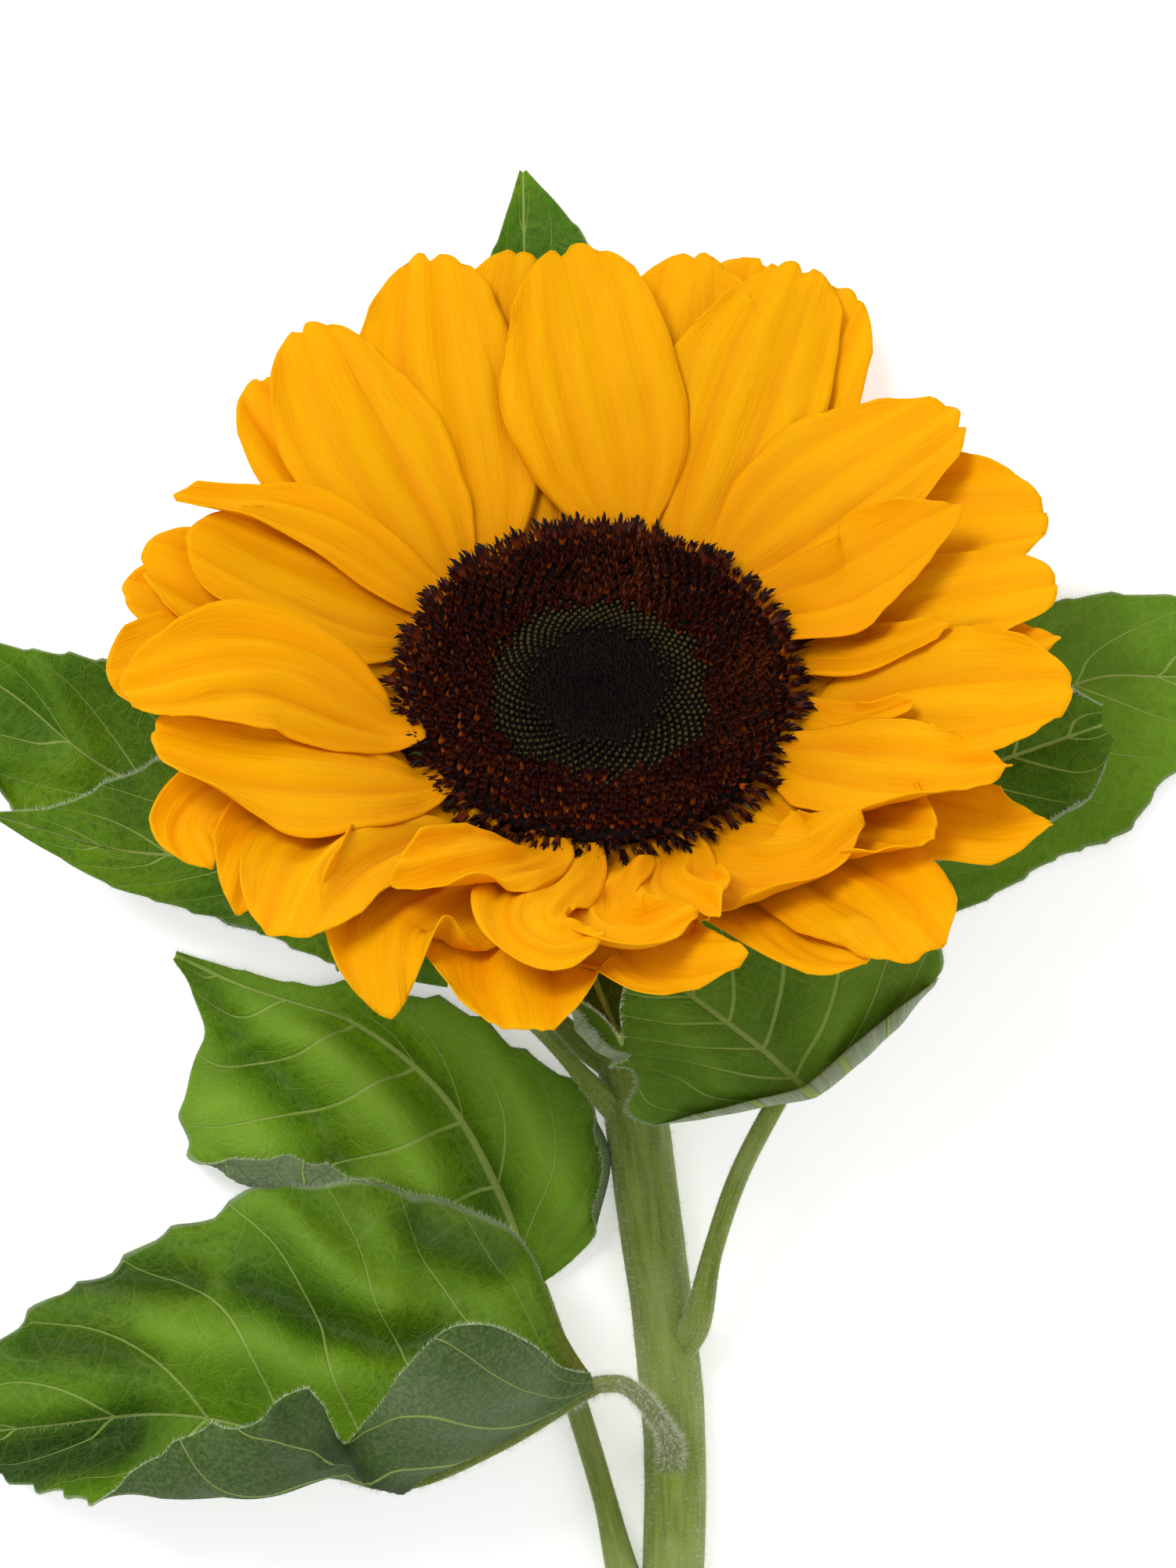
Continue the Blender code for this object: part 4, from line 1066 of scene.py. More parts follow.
# %% The stem's line
# Place and radius, in millimetres
STEM_PATH = [
    (0.0, -14.53, 17.25, 6.2), (0.1, -17.2, 13.5, 6.1), (0.6, -22.5, 9.5, 5.9), (1.6, -31, 6.9, 5.6),
    (3.2, -44, 5.4, 5.2), (5.1, -60.5, 5.0, 4.9), (8.1, -83, 4.9, 4.8), (10.9, -104, 4.9, 4.8),
    (11.9, -120, 4.9, 4.8), (11.3, -140, 4.9, 4.8), (9.0, -175, 5.0, 4.9), (6.5, -220, 5.0, 4.9),
    (5.2, -270, 5.1, 5.0), (5.0, -330, 5.1, 5.0),
]
STEM_RINGS, STEM_SIDES = 260, 40

stem_line = [plant_point(x, y, z) for x, y, z, radius in STEM_PATH]
stem_path = [along(stem_line, i / STEM_RINGS) for i in range(STEM_RINGS + 1)]
stem_spans = [(second - first).length for first, second in zip(stem_line, stem_line[1:])]
stem_knots = [(sum(stem_spans[:k]) / sum(stem_spans), STEM_PATH[k][3]) for k in range(len(STEM_PATH))]
stem_radii = [smooth_table(stem_knots, min(i / STEM_RINGS, 1.0)) * MM for i in range(STEM_RINGS + 1)]
print("the stem is", round(length_of(stem_line), 3), "m long")

# %% The stem, roughened and cut
CUT_SLANT = math.tan(math.radians(25))
CUT_REACH = 8 * MM
SMOOTH_END = 6 * MM  # the stretch before the cut that isn't roughened
LYING_HEIGHT = 1.0 * MM  # below this, the stem lies on the table and isn't roughened
NEAREST_RINGS = 4  # every fourth ring is enough to find which way is outward

stem_piece = tube("flower_stem", stem_path, stem_radii, STEM_SIDES, stem_skin, square=-face_normal)
stem_end = stem_path[-1]
for corner in stem_piece.data.vertices:
    place = corner.co
    nearest = min(stem_path[::NEAREST_RINGS], key=lambda spot: (spot - place).length_squared)
    outward = (place - nearest).normalized()
    angle = math.atan2(outward.z, outward.x)
    rib = math.sin(9 * angle) * 0.09 + math.sin(4 * angle + 1) * 0.08
    rough = noise.noise(place * 220) * 0.1 + noise.noise(place * 60) * 0.25
    if place.y - stem_end.y > SMOOTH_END and place.z > LYING_HEIGHT:
        corner.co = place + outward * (rib + rough - 0.1) * MM
    if (place - stem_end).length < CUT_REACH and abs(place.y - stem_end.y) < 0.5 * MM:
        corner.co.y -= (place.z - stem_end.z) * CUT_SLANT
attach(stem_piece, ROOT)
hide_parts("stem")
print("stem", len(stem_piece.data.polygons), "faces")

# %% [markdown]
# ## The leaves
#
# Eight leaves grow from the stem, and no two lie alike: some are flat on the table, one stands out under the
# head, and one is folded nearly double. A flat leaf bent by a modifier can't fold only one half. So every
# leaf is described along its midrib: the width of each half, how far its side veins lean (sweep), how
# each half bends as it leaves the midrib (bend) and curls at its margin (curl), and where it is folded.
# The lines and widths are close to those of its solid. The fine grid adds what the solid leaves out: teeth
# along the margin, sunken veins with the blade puffed up between them, and a slow wave towards the margin.
#
# Lines are places in millimetres. Widths and sweeps are (share of the midrib, value). A bend is
# (share, angle at the midrib, further turn to the margin), and a curl is (share, where across the half it
# starts, how far it turns), in degrees. A fold or a shading stroke is a stroke from one (share along,
# millimetres across) to another, with its spread and its height, or, for a shading stroke, how much painted
# shade it adds; below 0 it paints the band lighter.

# %% A plain leaf, and the list of leaves
NO_CURL = [(0, 1.0, 0), (1, 1.0, 0)]
PLAIN_LEAF = dict(
    left_curl=NO_CURL,
    right_curl=NO_CURL,
    folds=[],
    # bands of painted shade and light, drawn as strokes
    shading_strokes=[],
    # painted shade over the whole blade, and below 0 painted sunlight
    shade=0.0,
    silver=0.0,
    brown=0.0,
    flush=0.0,
    toothed_from=0.12,
    base_roll=0.0,
    rib_aside=0.0,
)
LEAVES = {
    "under_head": dict(
        petiole=[(-1.5, -40.5, 5.0), (-5.6, -37, 4.0), (-9, -33, 2.4), (-11, -26, 1.5)],
        radius=1.2,
        midrib=[(-11, -26, 1.3), (-11, 0, 0.9), (-11, 40, 0.8), (-11.5, 79, 0.8)],
        left=[(0, 4), (0.1, 8), (0.25, 21), (0.45, 24), (0.7, 12), (0.87, 5), (1, 0.6)],
        right=[(0, 5), (0.1, 9), (0.25, 21), (0.45, 25), (0.7, 18), (0.87, 9.5), (1, 0.6)],
        sweep=[(0, 30), (0.2, 0), (1, -35)],
        left_bend=[(0, 2, 4), (1, 2, 4)],
        right_bend=[(0, 2, 4), (1, 2, 4)],
        teeth=0.5,
        silver=0.2,
    ),
    "left_low": dict(
        petiole=[(1.5, -57.5, 5.0), (-3.4, -54, 4.2), (-12, -46, 2.6), (-24, -33, 1.4)],
        radius=1.4,
        midrib=[
            (-24, -33, 1.4), (-36, -28, 1.2), (-56, -22, 1.2), (-75, -13, 1.2), (-92, 0, 1.8),
            (-113, 11, 3.0),
        ],
        left=[(0, 8), (0.15, 14), (0.4, 14), (0.6, 14), (0.8, 13), (1, 0.8)],
        right=[(0, 14), (0.15, 24), (0.35, 23), (0.6, 14.5), (0.8, 5), (1, 0.8)],
        sweep=[(0, 30), (0.2, 0), (1, -30)],
        left_bend=[(0, 0, 4), (1, 0, 20)],
        left_curl=[(0, 1.0, 0), (0.55, 0.8, 0), (0.75, 0.7, 130), (0.9, 0.7, 110), (1, 0.8, 0)],
        right_bend=[(0, 4, 8), (1, 4, 10)],
        folds=[(0.6, 0, 0.8, 16, 4, 2.0)],
        shade=0.05,
        teeth=0.7,
        silver=0.35,
    ),
    "right_low": dict(
        petiole=[(7.5, -54.5, 5.0), (11.4, -51.0, 4.4), (19, -46.5, 3.0), (32, -38, 1.6)],
        radius=1.4,
        midrib=[(32, -38, 1.6), (48, -24, 1.8), (61, -7, 2.4), (76, 1, 3.0), (90, 1.5, 2.6), (107, 5, 2.4)],
        left=[(0, 10), (0.2, 22), (0.45, 20), (0.62, 13), (0.82, 12), (1, 0.8)],
        right=[(0, 5), (0.15, 10), (0.35, 18), (0.55, 24), (0.7, 17), (0.85, 8), (1, 0.8)],
        sweep=[(0, 30), (0.3, 0), (0.6, -5), (1, -30)],
        left_bend=[(0, 4, 4), (0.6, 14, -10), (1, 8, 0)],
        right_bend=[(0, -2, 4), (1, -4, 6)],
        shade=-0.4,
        teeth=0.5,
        silver=0.2,
    ),
    "lower_left_low": dict(
        petiole=[(8.5, -144, 5.0), (4.9, -139, 5.0), (0.9, -124, 4.0), (-4, -108, 3.4), (-10, -91, 3.2)],
        radius=1.8,
        midrib=[
            (-10, -91, 3.2), (-15, -78, 5), (-24, -63, 6), (-38, -52, 4), (-54, -46.3, 2.5),
            (-65, -41.5, 1.2),
        ],
        left=[
            (0, 3), (0.06, 14), (0.2, 33), (0.35, 42), (0.5, 40), (0.62, 33),
            (0.72, 26), (0.79, 17), (0.86, 9), (0.93, 4.5), (1, 0.8),
        ],
        right=[
            (0, 2), (0.05, 8), (0.12, 15.5), (0.2, 20.5), (0.29, 18), (0.38, 13), (0.45, 11.5), (0.53, 9),
            (0.6, 6), (0.66, 5.5), (0.72, 3.2), (0.85, 2.2), (1, 0.8),
        ],
        sweep=[(0, 32), (0.2, 12), (0.5, -8), (0.78, -22), (0.88, -14), (1, -14)],
        left_bend=[(0, 4, -8), (0.5, 14, -34), (1, 2, -10)],
        left_curl=[
            (0, 0.8, 0), (0.1, 0.7, 60), (0.2, 0.53, 180), (0.35, 0.59, 185), (0.5, 0.67, 185),
            (0.58, 0.76, 160), (0.66, 0.85, 50), (0.72, 0.9, 0), (1, 0.9, 0),
        ],
        right_bend=[(0, 6, -12), (0.5, 12, -30), (1, 2, -8)],
        right_curl=[
            (0, 1.0, 0), (0.06, 0.8, 0), (0.13, 0.78, 170), (0.23, 0.82, 150), (0.3, 0.95, 0), (1, 1.0, 0),
        ],
        folds=[
            (0.95, -1.5, 0.79, -8.5, 3.2, -2.6), (0.72, -11.5, 0.43, -18, 3.6, -3.2),
            (0.66, -4.5, 0.26, -10, 3.4, 3.0), (0.64, 1, 0.16, -2, 3.6, -2.4),
            (0.5, 10, 0.15, 9, 4.0, 2.0), (0.66, -22, 0.4, -30, 5, 2.4),
        ],
        shading_strokes=[
            (0.97, -1, 0.8, -8, 2.6, 0.4), (0.71, -12, 0.43, -18, 2.8, 0.4),
            (0.8, -3, 0.62, -5.5, 2.4, -0.35), (0.62, -5.5, 0.26, -10, 2.4, -0.4),
            (0.62, 3.5, 0.18, -2.5, 4.2, 0.5), (0.5, 11, 0.12, 9, 3.4, -0.25),
            (0.68, -22, 0.4, -30, 5, -0.35),
        ],
        shade=-0.5,
        teeth=1.2,
    ),
    "left_raised": dict(
        petiole=[(3.2, -65.5, 6.0), (-0.6, -61.4, 9.4), (-9, -52, 12.5), (-22, -40, 16)],
        radius=1.2,
        midrib=[(-22, -40, 16), (-38, -30, 19), (-54.5, -26.5, 20), (-72, -25, 19), (-91, -20, 16)],
        left=[(0, 6), (0.25, 12), (0.5, 9.5), (0.75, 5.5), (1, 0.6)],
        right=[(0, 6), (0.25, 15), (0.5, 17), (0.68, 12), (0.85, 4.5), (1, 0.6)],
        sweep=[(0, 25), (0.2, 0), (1, -30)],
        left_bend=[(0, -10, -10), (1, -30, -10)],
        right_bend=[(0, 4, 8), (1, 4, 8)],
        teeth=0.6,
        silver=0.3,
    ),
    "front_folded": dict(
        petiole=[(11.3, -119, 7.5), (11.0, -115, 11.5), (8.6, -110, 17.5), (4, -105, 22), (-1, -104.6, 24.5)],
        radius=1.35,
        rib_aside=-0.9,
        midrib=[
            (-1, -104.6, 24.5), (-15, -113, 26), (-30, -119, 25), (-42.5, -116.8, 22),
            (-53.7, -111.5, 19), (-66.4, -110, 17), (-83, -112, 15), (-97, -113.5, 14),
        ],
        left=[
            (0, 8), (0.05, 13), (0.1, 24), (0.16, 36), (0.22, 42), (0.28, 36),
            (0.33, 25), (0.365, 18.5), (0.385, 40), (0.41, 42), (0.46, 37), (0.54, 37),
            (0.62, 33), (0.7, 22), (0.78, 12), (0.9, 8), (1, 0.8),
        ],
        right=[
            (0, 2), (0.05, 14), (0.12, 26), (0.2, 36.5), (0.32, 45), (0.42, 46), (0.47, 44.5), (0.56, 37),
            (0.69, 27), (0.85, 16), (1, 0.8),
        ],
        left_sweep=[(0, -10), (0.3, -12), (0.6, -10), (1, -30)],
        right_sweep=[(0, 15), (0.12, 25), (0.3, 8), (0.6, -5), (1, -30)],
        left_bend=[
            (0, 85, 45), (0.1, 92, 68), (0.24, 92, 68), (0.35, 88, 70), (0.41, 72, 85), (0.48, 45, 120),
            (0.56, 20, 150), (0.63, 12, 140), (0.7, 8, 100), (0.78, 0, 30), (0.88, -5, 10), (1, 0, 5),
        ],
        right_bend=[(0, 10, -50), (0.5, 0, -40), (1, 0, -20)],
        folds=[
            (0.58, 34, 0.35, 26, 4.0, 4.0), (0.78, 22, 0.65, 21, 3.0, -3.0), (0.58, 21, 0.28, 21, 3.0, -3.0),
            (0.34, 41, 0.2, 30, 3.6, -2.4), (0.68, 11, 0.42, 14, 4.5, 2.6), (0.84, 13, 0.7, 8, 3.0, -2.2),
            (0.74, -4, 1.0, -7, 5, -3.0), (0.365, -20, 0.3, -4, 2.2, -2.4), (0.43, -34, 0.38, -8, 3.5, 1.8),
        ],
        shading_strokes=[
            (0.372, -24, 0.3, -3, 2.0, 0.8), (0.42, -40, 0.4, -14, 3.5, 0.55), (0.3, -34, 0.1, -14, 6, -0.3),
            (0.78, 22, 0.65, 21, 3.0, 0.4), (0.58, 21, 0.26, 21, 3.0, 0.4), (0.34, 41, 0.2, 30, 3.2, 0.4),
            (0.68, 11, 0.42, 14, 4.5, -0.4), (0.84, 13, 0.7, 8, 3.0, 0.4), (0.74, -4, 1.0, -7, 5, 0.9),
            (0.4, 38, 0.18, 22, 5, -0.3), (0.9, 6, 0.78, 3, 4, -0.3),
        ],
        toothed_from=0.42,
        teeth=1.5,
        flush=0.7,
    ),
    "under_petals": dict(
        petiole=[
            (12.3, -101.5, 6.0), (14.9, -97, 10.0), (17.2, -86, 15.5),
            (21, -73.5, 23), (26.4, -62, 29.5), (28.5, -58.3, 31),
        ],
        radius=1.5,
        midrib=[(30.6, -60.0, 30.6), (28.5, -58.3, 31), (25, -55, 32.5), (12.3, -45.3, 34), (-5, -33, 32)],
        left=[
            (0, 23.3), (0.05, 25), (0.12, 21), (0.2, 19.5), (0.27, 23),
            (0.33, 24), (0.42, 23), (0.55, 18), (0.75, 12), (1, 1.5),
        ],
        right=[(0, 25.5), (0.08, 29.3), (0.16, 31), (0.3, 27), (0.45, 19), (0.65, 13), (1, 1.5)],
        left_sweep=[(0, -35), (0.2, -41), (1, -45)],
        right_sweep=[(0, 12), (0.08, 16.5), (0.16, 14), (0.3, 8), (0.5, -5), (1, -30)],
        left_bend=[(0, -6, -10), (1, -4, -8)],
        left_curl=[
            (0, 1.0, 0), (0.2, 0.95, 0), (0.28, 0.76, 165), (0.45, 0.76, 165),
            (0.6, 0.85, 120), (0.8, 1.0, 0), (1, 1.0, 0),
        ],
        right_bend=[(0, -4, -8), (1, -4, -8)],
        folds=[(0.0, 0, 0.35, 26, 4, 1.5), (0.1, 3, 0.6, 12, 3, -1.2), (0.1, -10, 0.5, -4, 3, 1.4)],
        shade=-0.3,
        teeth=0.6,
        silver=1.0,
        brown=0.6,
        base_roll=2.5,
    ),
    "right_small": dict(
        petiole=[(3.5, -29.5, 8.5), (7.4, -27.5, 13.0), (13, -26.5, 18), (20, -24.5, 24)],
        radius=1.1,
        midrib=[(20, -24.5, 24), (36, -20.5, 31), (54, -13.5, 36.5), (73.5, -6.5, 39)],
        left=[(0, 4), (0.25, 9), (0.55, 12), (0.85, 11), (1, 3)],
        right=[(0, 4), (0.25, 9), (0.55, 12), (0.85, 11), (1, 3)],
        left_curl=[(0, 1.0, 0), (0.4, 0.82, 150), (0.9, 0.82, 160), (1, 0.9, 100)],
        right_curl=[(0, 1.0, 0), (0.4, 0.86, 150), (0.9, 0.86, 160), (1, 0.9, 100)],
        sweep=[(0, 15), (0.4, 0), (1, -20)],
        left_bend=[(0, 4, 6), (1, 4, 6)],
        right_bend=[(0, 4, 6), (1, 4, 6)],
        shade=0.2,
        teeth=0.4,
        silver=0.6,
        brown=0.3,
    ),
}
LEAVES = {name: {**PLAIN_LEAF, **own} for name, own in LEAVES.items()}
print(len(LEAVES), "leaves listed")

# %% [markdown]
# ## The margin, the veins and the folds
#
# Three small functions give the blade its relief. The vein phase says where the side veins run, the tooth
# is one saw tooth of the margin, and the half profile walks outward from the midrib, turning as it goes, so
# that a half can bend, fold over or curl without growing wider or narrower. The teeth could be cut out of
# the blade, but moving the margin's own points in and out keeps the grid whole.

# %% Leaf measures
LEAF_COLUMNS, LEAF_ROWS = 64, 130
LEAF_THICKNESS = 0.32 * MM
LEAF_CLEARANCE = 0.7 * MM
TABLE_CLEARANCE = 0.35 * MM
LEAF_FOOT_ROWS = 2
ROLLED_ROWS = 12
ROLL_ANGLE = math.radians(205)
# painted shade: valleys are painted darker in proportion to their depth
VALLEY_SHADE = 0.14  # how much deeper the green of a valley is for each millimetre of its depth
VEINS_ON_A_SIDE = 7
VEIN_REACH = 0.34  # how far along the blade a basal vein runs before it meets the margin
CURL_SHARE = 0.2  # the share of a half's width over which a curled margin turns
TOOTH_SPACING = 6.5
WAVE = 2.2  # height of the margin's slow waves, in millimetres
PUFF = 0.07  # how far the blade stands up between two veins, as a share of their distance
CREASE_DEPTH, CREASE_WIDTH = 0.5, 1.2  # of the groove over the midrib, in millimetres


def vein_phase(t, s):
    """Whole on each side vein, growing by one from vein to vein; the two sides aren't quite opposite."""
    start = (t - VEIN_REACH * abs(s)) / (1 - 0.5 * VEIN_REACH * abs(s))
    return VEINS_ON_A_SIDE * (start - 0.05) + (0.2 * step_up(-s, 0.0, 0.3) if s < 0 else 0.0)


def tooth(distance, chance_shift):
    """Height from 0 to 1 of the margin's teeth, which rise slowly and drop towards the leaf's tip."""
    turn = distance / TOOTH_SPACING + 0.35 * math.sin(distance / 11 + chance_shift)
    turn -= math.floor(turn)
    return (turn / 0.8) ** 1.6 if turn < 0.8 else ((1 - turn) / 0.2)


print("a tooth's height at its start and near its end:", tooth(0, 0), round(tooth(0.7 * TOOTH_SPACING, 0), 2))


# %% A half's bend, and its folds
def half_profile(width, bend, curl):
    """(out, up, angle) at even steps from the midrib to the margin of one half of a blade."""
    first, turn = bend
    curl_from, curl_by = curl
    steps = LEAF_COLUMNS // 2

    def angle_at(share):
        curled = curl_by * step_up(share, curl_from, curl_from + CURL_SHARE)
        return math.radians(first + turn * share + curled)

    out, high, profile = 0.0, 0.0, [(0.0, 0.0, math.radians(first))]
    for k in range(steps):
        angle = angle_at((k + 0.5) / steps)
        out += math.cos(angle) * width / steps
        high += math.sin(angle) * width / steps
        profile.append((out, high, angle_at((k + 1) / steps)))
    return profile


def strokes_at(strokes, length, t, offset):
    """The sum of a leaf's strokes, its folds or its painted shading, at a place on the blade."""
    total = 0.0
    here = Vector((t * length, offset))
    for t0, offset0, t1, offset1, spread, height in strokes:
        start, end = Vector((t0 * length, offset0)), Vector((t1 * length, offset1))
        run = end - start
        share = min(max((here - start).dot(run) / run.length_squared, 0.0), 1.0)
        total += height * bell((here - start - run * share).length, spread)
    return total


def roll_base(sheet, radius):
    """Turns the first rows of a blade up and over its base edge, more on the right side than on the left."""
    for j in range(sheet.columns):
        edge = sheet.grid[ROLLED_ROWS][j].co.copy()
        out = edge - sheet.grid[ROLLED_ROWS + 2][j].co
        out.z = 0
        out.normalize()
        share = j / (sheet.columns - 1)
        size = radius * (0.35 + 0.65 * share) * step_up(share, 0.0, 0.15)
        size *= (1 - 0.5 * step_up(share, 0.85, 1.0)) * MM
        for i in range(ROLLED_ROWS):
            angle = ROLL_ANGLE * (ROLLED_ROWS - i) / ROLLED_ROWS
            sheet.grid[i][j].co = edge + (out * math.sin(angle) + UP * (1 - math.cos(angle))) * size


straight = half_profile(10, (0, 0), (1, 0))
print("the margin of a flat half 10 mm wide is", round(straight[-1][0], 2), "mm from its midrib")


# %% One blade
def blade_relief(rank, leaf, phase, gap, width, length, t, s, flat_place):
    """How far a point stands off the bent blade, in millimetres."""
    reach = abs(s) * width
    puffed = (1 - math.cos(math.tau * phase)) / 2 * gap * PUFF
    puffed *= step_up(reach, 0.5, 6) * (1 - 0.6 * abs(s)) * min(width / 15, 1)
    wave = noise.noise(flat_place * 38 + Vector((rank, 0, 0))) * WAVE
    wave += noise.noise(flat_place * 95 + Vector((0, rank, 0))) * WAVE * 0.35
    wave *= step_up(abs(s), 0.15, 1.0) * min(width / 12, 1)
    wave += strokes_at(leaf["folds"], length, t, s * width)
    return puffed + wave - CREASE_DEPTH * bell(reach, CREASE_WIDTH)


def blade_numbers(leaf, phase, gap, width, length, t, s, flat_place):
    """The numbers that the leaf finishes read at a point."""
    # painted shade and light: a valley is painted darker by its depth, a shading stroke above 0 darker and
    # one below 0 lighter, and a whole blade by its own shade
    depth = -strokes_at(leaf["folds"], length, t, s * width)
    tone = strokes_at(leaf["shading_strokes"], length, t, s * width)
    rusty = leaf["brown"] * step_up(s, 0.5, 1.0) * step_up(noise.noise(flat_place * 90), -0.5, 0.5)
    return {
        "phase": phase,
        "gap_mm": gap * 0.75,
        "across_mm": s * width,
        "along_mm": t * length,
        "margin": abs(s),
        "shade": leaf["shade"] + depth * VALLEY_SHADE + tone,
        "silver": leaf["silver"],
        "brown": rusty + leaf["flush"] * (1 - step_up(t, 0.0, 0.1)),
    }


def leaf_blade(rank, leaf):
    """The grid of one blade, moved to its place, before it is laid over others."""
    midrib = [plant_point(*place) for place in leaf["midrib"]]
    length = length_of(midrib) / MM
    gap = length / VEINS_ON_A_SIDE
    numbers = ("phase", "gap_mm", "across_mm", "along_mm", "margin", "shade", "silver", "brown")
    sheet = Sheet(LEAF_COLUMNS, LEAF_ROWS, numbers)
    half_columns = LEAF_COLUMNS // 2
    rolled_rows = ROLLED_ROWS if leaf["base_roll"] else 0
    for i in range(sheet.rows):
        t = max(i - rolled_rows, 0) / (sheet.rows - 1 - rolled_rows)
        middle = along(midrib, t)
        broadly = heading(midrib, t, 0.3)
        right = broadly.cross(UP).normalized()
        over = right.cross(heading(midrib, t)).normalized()
        for sign, half in ((-1, "left"), (1, "right")):
            sweep = math.radians(smooth_table(leaf.get(half + "_sweep", leaf.get("sweep")), t))
            side = right * sign * math.cos(sweep) - broadly * math.sin(sweep)
            width = smooth_table(leaf[half], t)
            bend = [smooth_table(leaf[half + "_bend"], t, column) for column in (1, 2)]
            curl = [smooth_table(leaf[half + "_curl"], t, column) for column in (1, 2)]
            bite = tooth(t * length + 3 * sign, rank) * leaf["teeth"] * min(width / 10, 1)
            bite *= step_up(t, leaf["toothed_from"], leaf["toothed_from"] + 0.18) * step_up(1 - t, 0.0, 0.15)
            for k, (out, high, angle) in enumerate(half_profile(width, bend, curl)):
                s = sign * k / half_columns
                normal = over * math.cos(angle) - side * math.sin(angle)
                outward = side * math.cos(angle) + over * math.sin(angle)
                flat_place = middle + right * s * width * MM
                phase = vein_phase(t, s)
                relief = blade_relief(rank, leaf, phase, gap, width, length, t, s, flat_place)
                place = middle + (side * out + over * high) * MM
                place += (outward * bite * abs(s) ** 8 + normal * relief) * MM
                corner = sheet.grid[i][half_columns + sign * k]
                corner.co = place
                values = blade_numbers(leaf, phase, gap, width, length, t, s, flat_place)
                for number, value in values.items():
                    corner[sheet.layers[number]] = value
    if rolled_rows:
        roll_base(sheet, leaf["base_roll"])
    return sheet


# %% [markdown]
# ## Leaf stalks
#
# A leaf's stalk, its petiole, widens where it joins the stem, and runs on under the blade as the midrib,
# thinner and thinner. It could be a separate tube for each, but on a real leaf there is no joint between
# them, so one tube follows the petiole's line and then the middle column of the blade after it has been laid
# down. The blade is kept far enough above the table for its midrib to fit beneath it.


# %% The stalk and the midrib
MIDRIB_END = 0.93  # the midrib fades out this far along the blade
RIB_ROOM = 1.85  # how far a blade stays above the table over its midrib, in radii of the midrib
PETIOLE_STEPS = 30
STALK_SIDES = 18
STALK_CHANNEL = 0.22


def midrib_radius(leaf, part):
    return leaf["radius"] * (1 - min(part, 1)) ** 1.1 * 0.62 + 0.22


def floor_under(leaf, sheet):
    """How far above the table each point of a blade has to stay, so that its midrib fits beneath it."""
    heights = []
    for i in range(sheet.rows):
        room = RIB_ROOM * midrib_radius(leaf, i / (sheet.rows - 1) / MIDRIB_END) * MM
        reaches = [abs(corner[sheet.layers["across_mm"]]) for corner in sheet.grid[i]]
        heights.append([TABLE_CLEARANCE + room * bell(reach, 4) for reach in reaches])
    return heights


def flushed_part(t):
    return 0.75 * step_up(t, -0.08, 0.12) * (1 - step_up(t, 0.3, 0.6))


def leaf_stalk(name, leaf, sheet):
    """The petiole, running on as the midrib along the underside of the laid blade."""
    petiole = [plant_point(*place) for place in leaf["petiole"]]
    shares = [i / PETIOLE_STEPS for i in range(PETIOLE_STEPS)]
    path = [along(petiole, share) for share in shares]
    radii = [leaf["radius"] * MM * (1.7 - 0.7 * step_up(share, 0, 0.4)) for share in shares]
    middle_column = (sheet.columns - 1) // 2
    first_row = ROLLED_ROWS + 10 if leaf["base_roll"] else 2
    rib = [sheet.grid[i][middle_column].co.copy() for i in range(first_row, int(sheet.rows * MIDRIB_END), 3)]
    for k, spot in enumerate(rib):
        part = k / (len(rib) - 1)
        radius = midrib_radius(leaf, part)
        aside = leaf["rib_aside"] * (1 - step_up(part, 0.3, 0.5))
        path.append(spot + Vector((0, aside, -radius * 0.8)) * MM)
        radii.append(radius * MM)

    def flush_at(t):
        return leaf["flush"] * flushed_part(t)

    return tube(name + "_stalk", path, radii, STALK_SIDES, stem_skin, STALK_CHANNEL, flush_at)


print("a midrib starts", round(midrib_radius(LEAVES["left_low"], 0), 2), "mm and ends 0.22 mm in radius")

# %% Make the leaves and lay them over each other
leaf_pile = Pile()
leaf_margins = {}
leaf_pieces = {}


def margin_lines(sheet):
    """The two outermost lines of points on each side of a sheet, where hairs will grow."""
    return [[sheet.grid[i][j].co.copy() for i in range(sheet.rows)] for j in (0, 1, -2, -1)]


for rank, (name, leaf) in enumerate(LEAVES.items()):
    sheet = leaf_blade(rank, leaf)
    lifted = lay_over(sheet, leaf_pile, UP, LEAF_CLEARANCE, LEAF_FOOT_ROWS, floor_under(leaf, sheet))
    leaf_pile.add(sheet)
    leaf_margins[name] = margin_lines(sheet)
    stalk = leaf_stalk(name, leaf, sheet)
    blade = sheet.finish("leaf_" + name + "_piece", LEAF_THICKNESS, leaf_upper, leaf_under, UP)
    piece = one_piece("green_leaf_" + name, [blade, stalk])
    leaf_pieces[name] = piece
    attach(piece, ROOT)
    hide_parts("leaf_" + name)
    print(name, "lifted by", round(lifted / MM, 2), "mm,", len(piece.data.polygons), "faces")

# %% [markdown]
# ## The head's green back
#
# Under the disc sits the receptacle, a fleshy cup that widens from the stem. It could be lofted from
# circles, but it is round, so it is a spin of its outline. The disc's cushion is made the same way.

# %% A turned piece
TURNED_EDGE = math.radians(50)
DOUBLES = 0.01  # corners nearer than this are merged, in millimetres


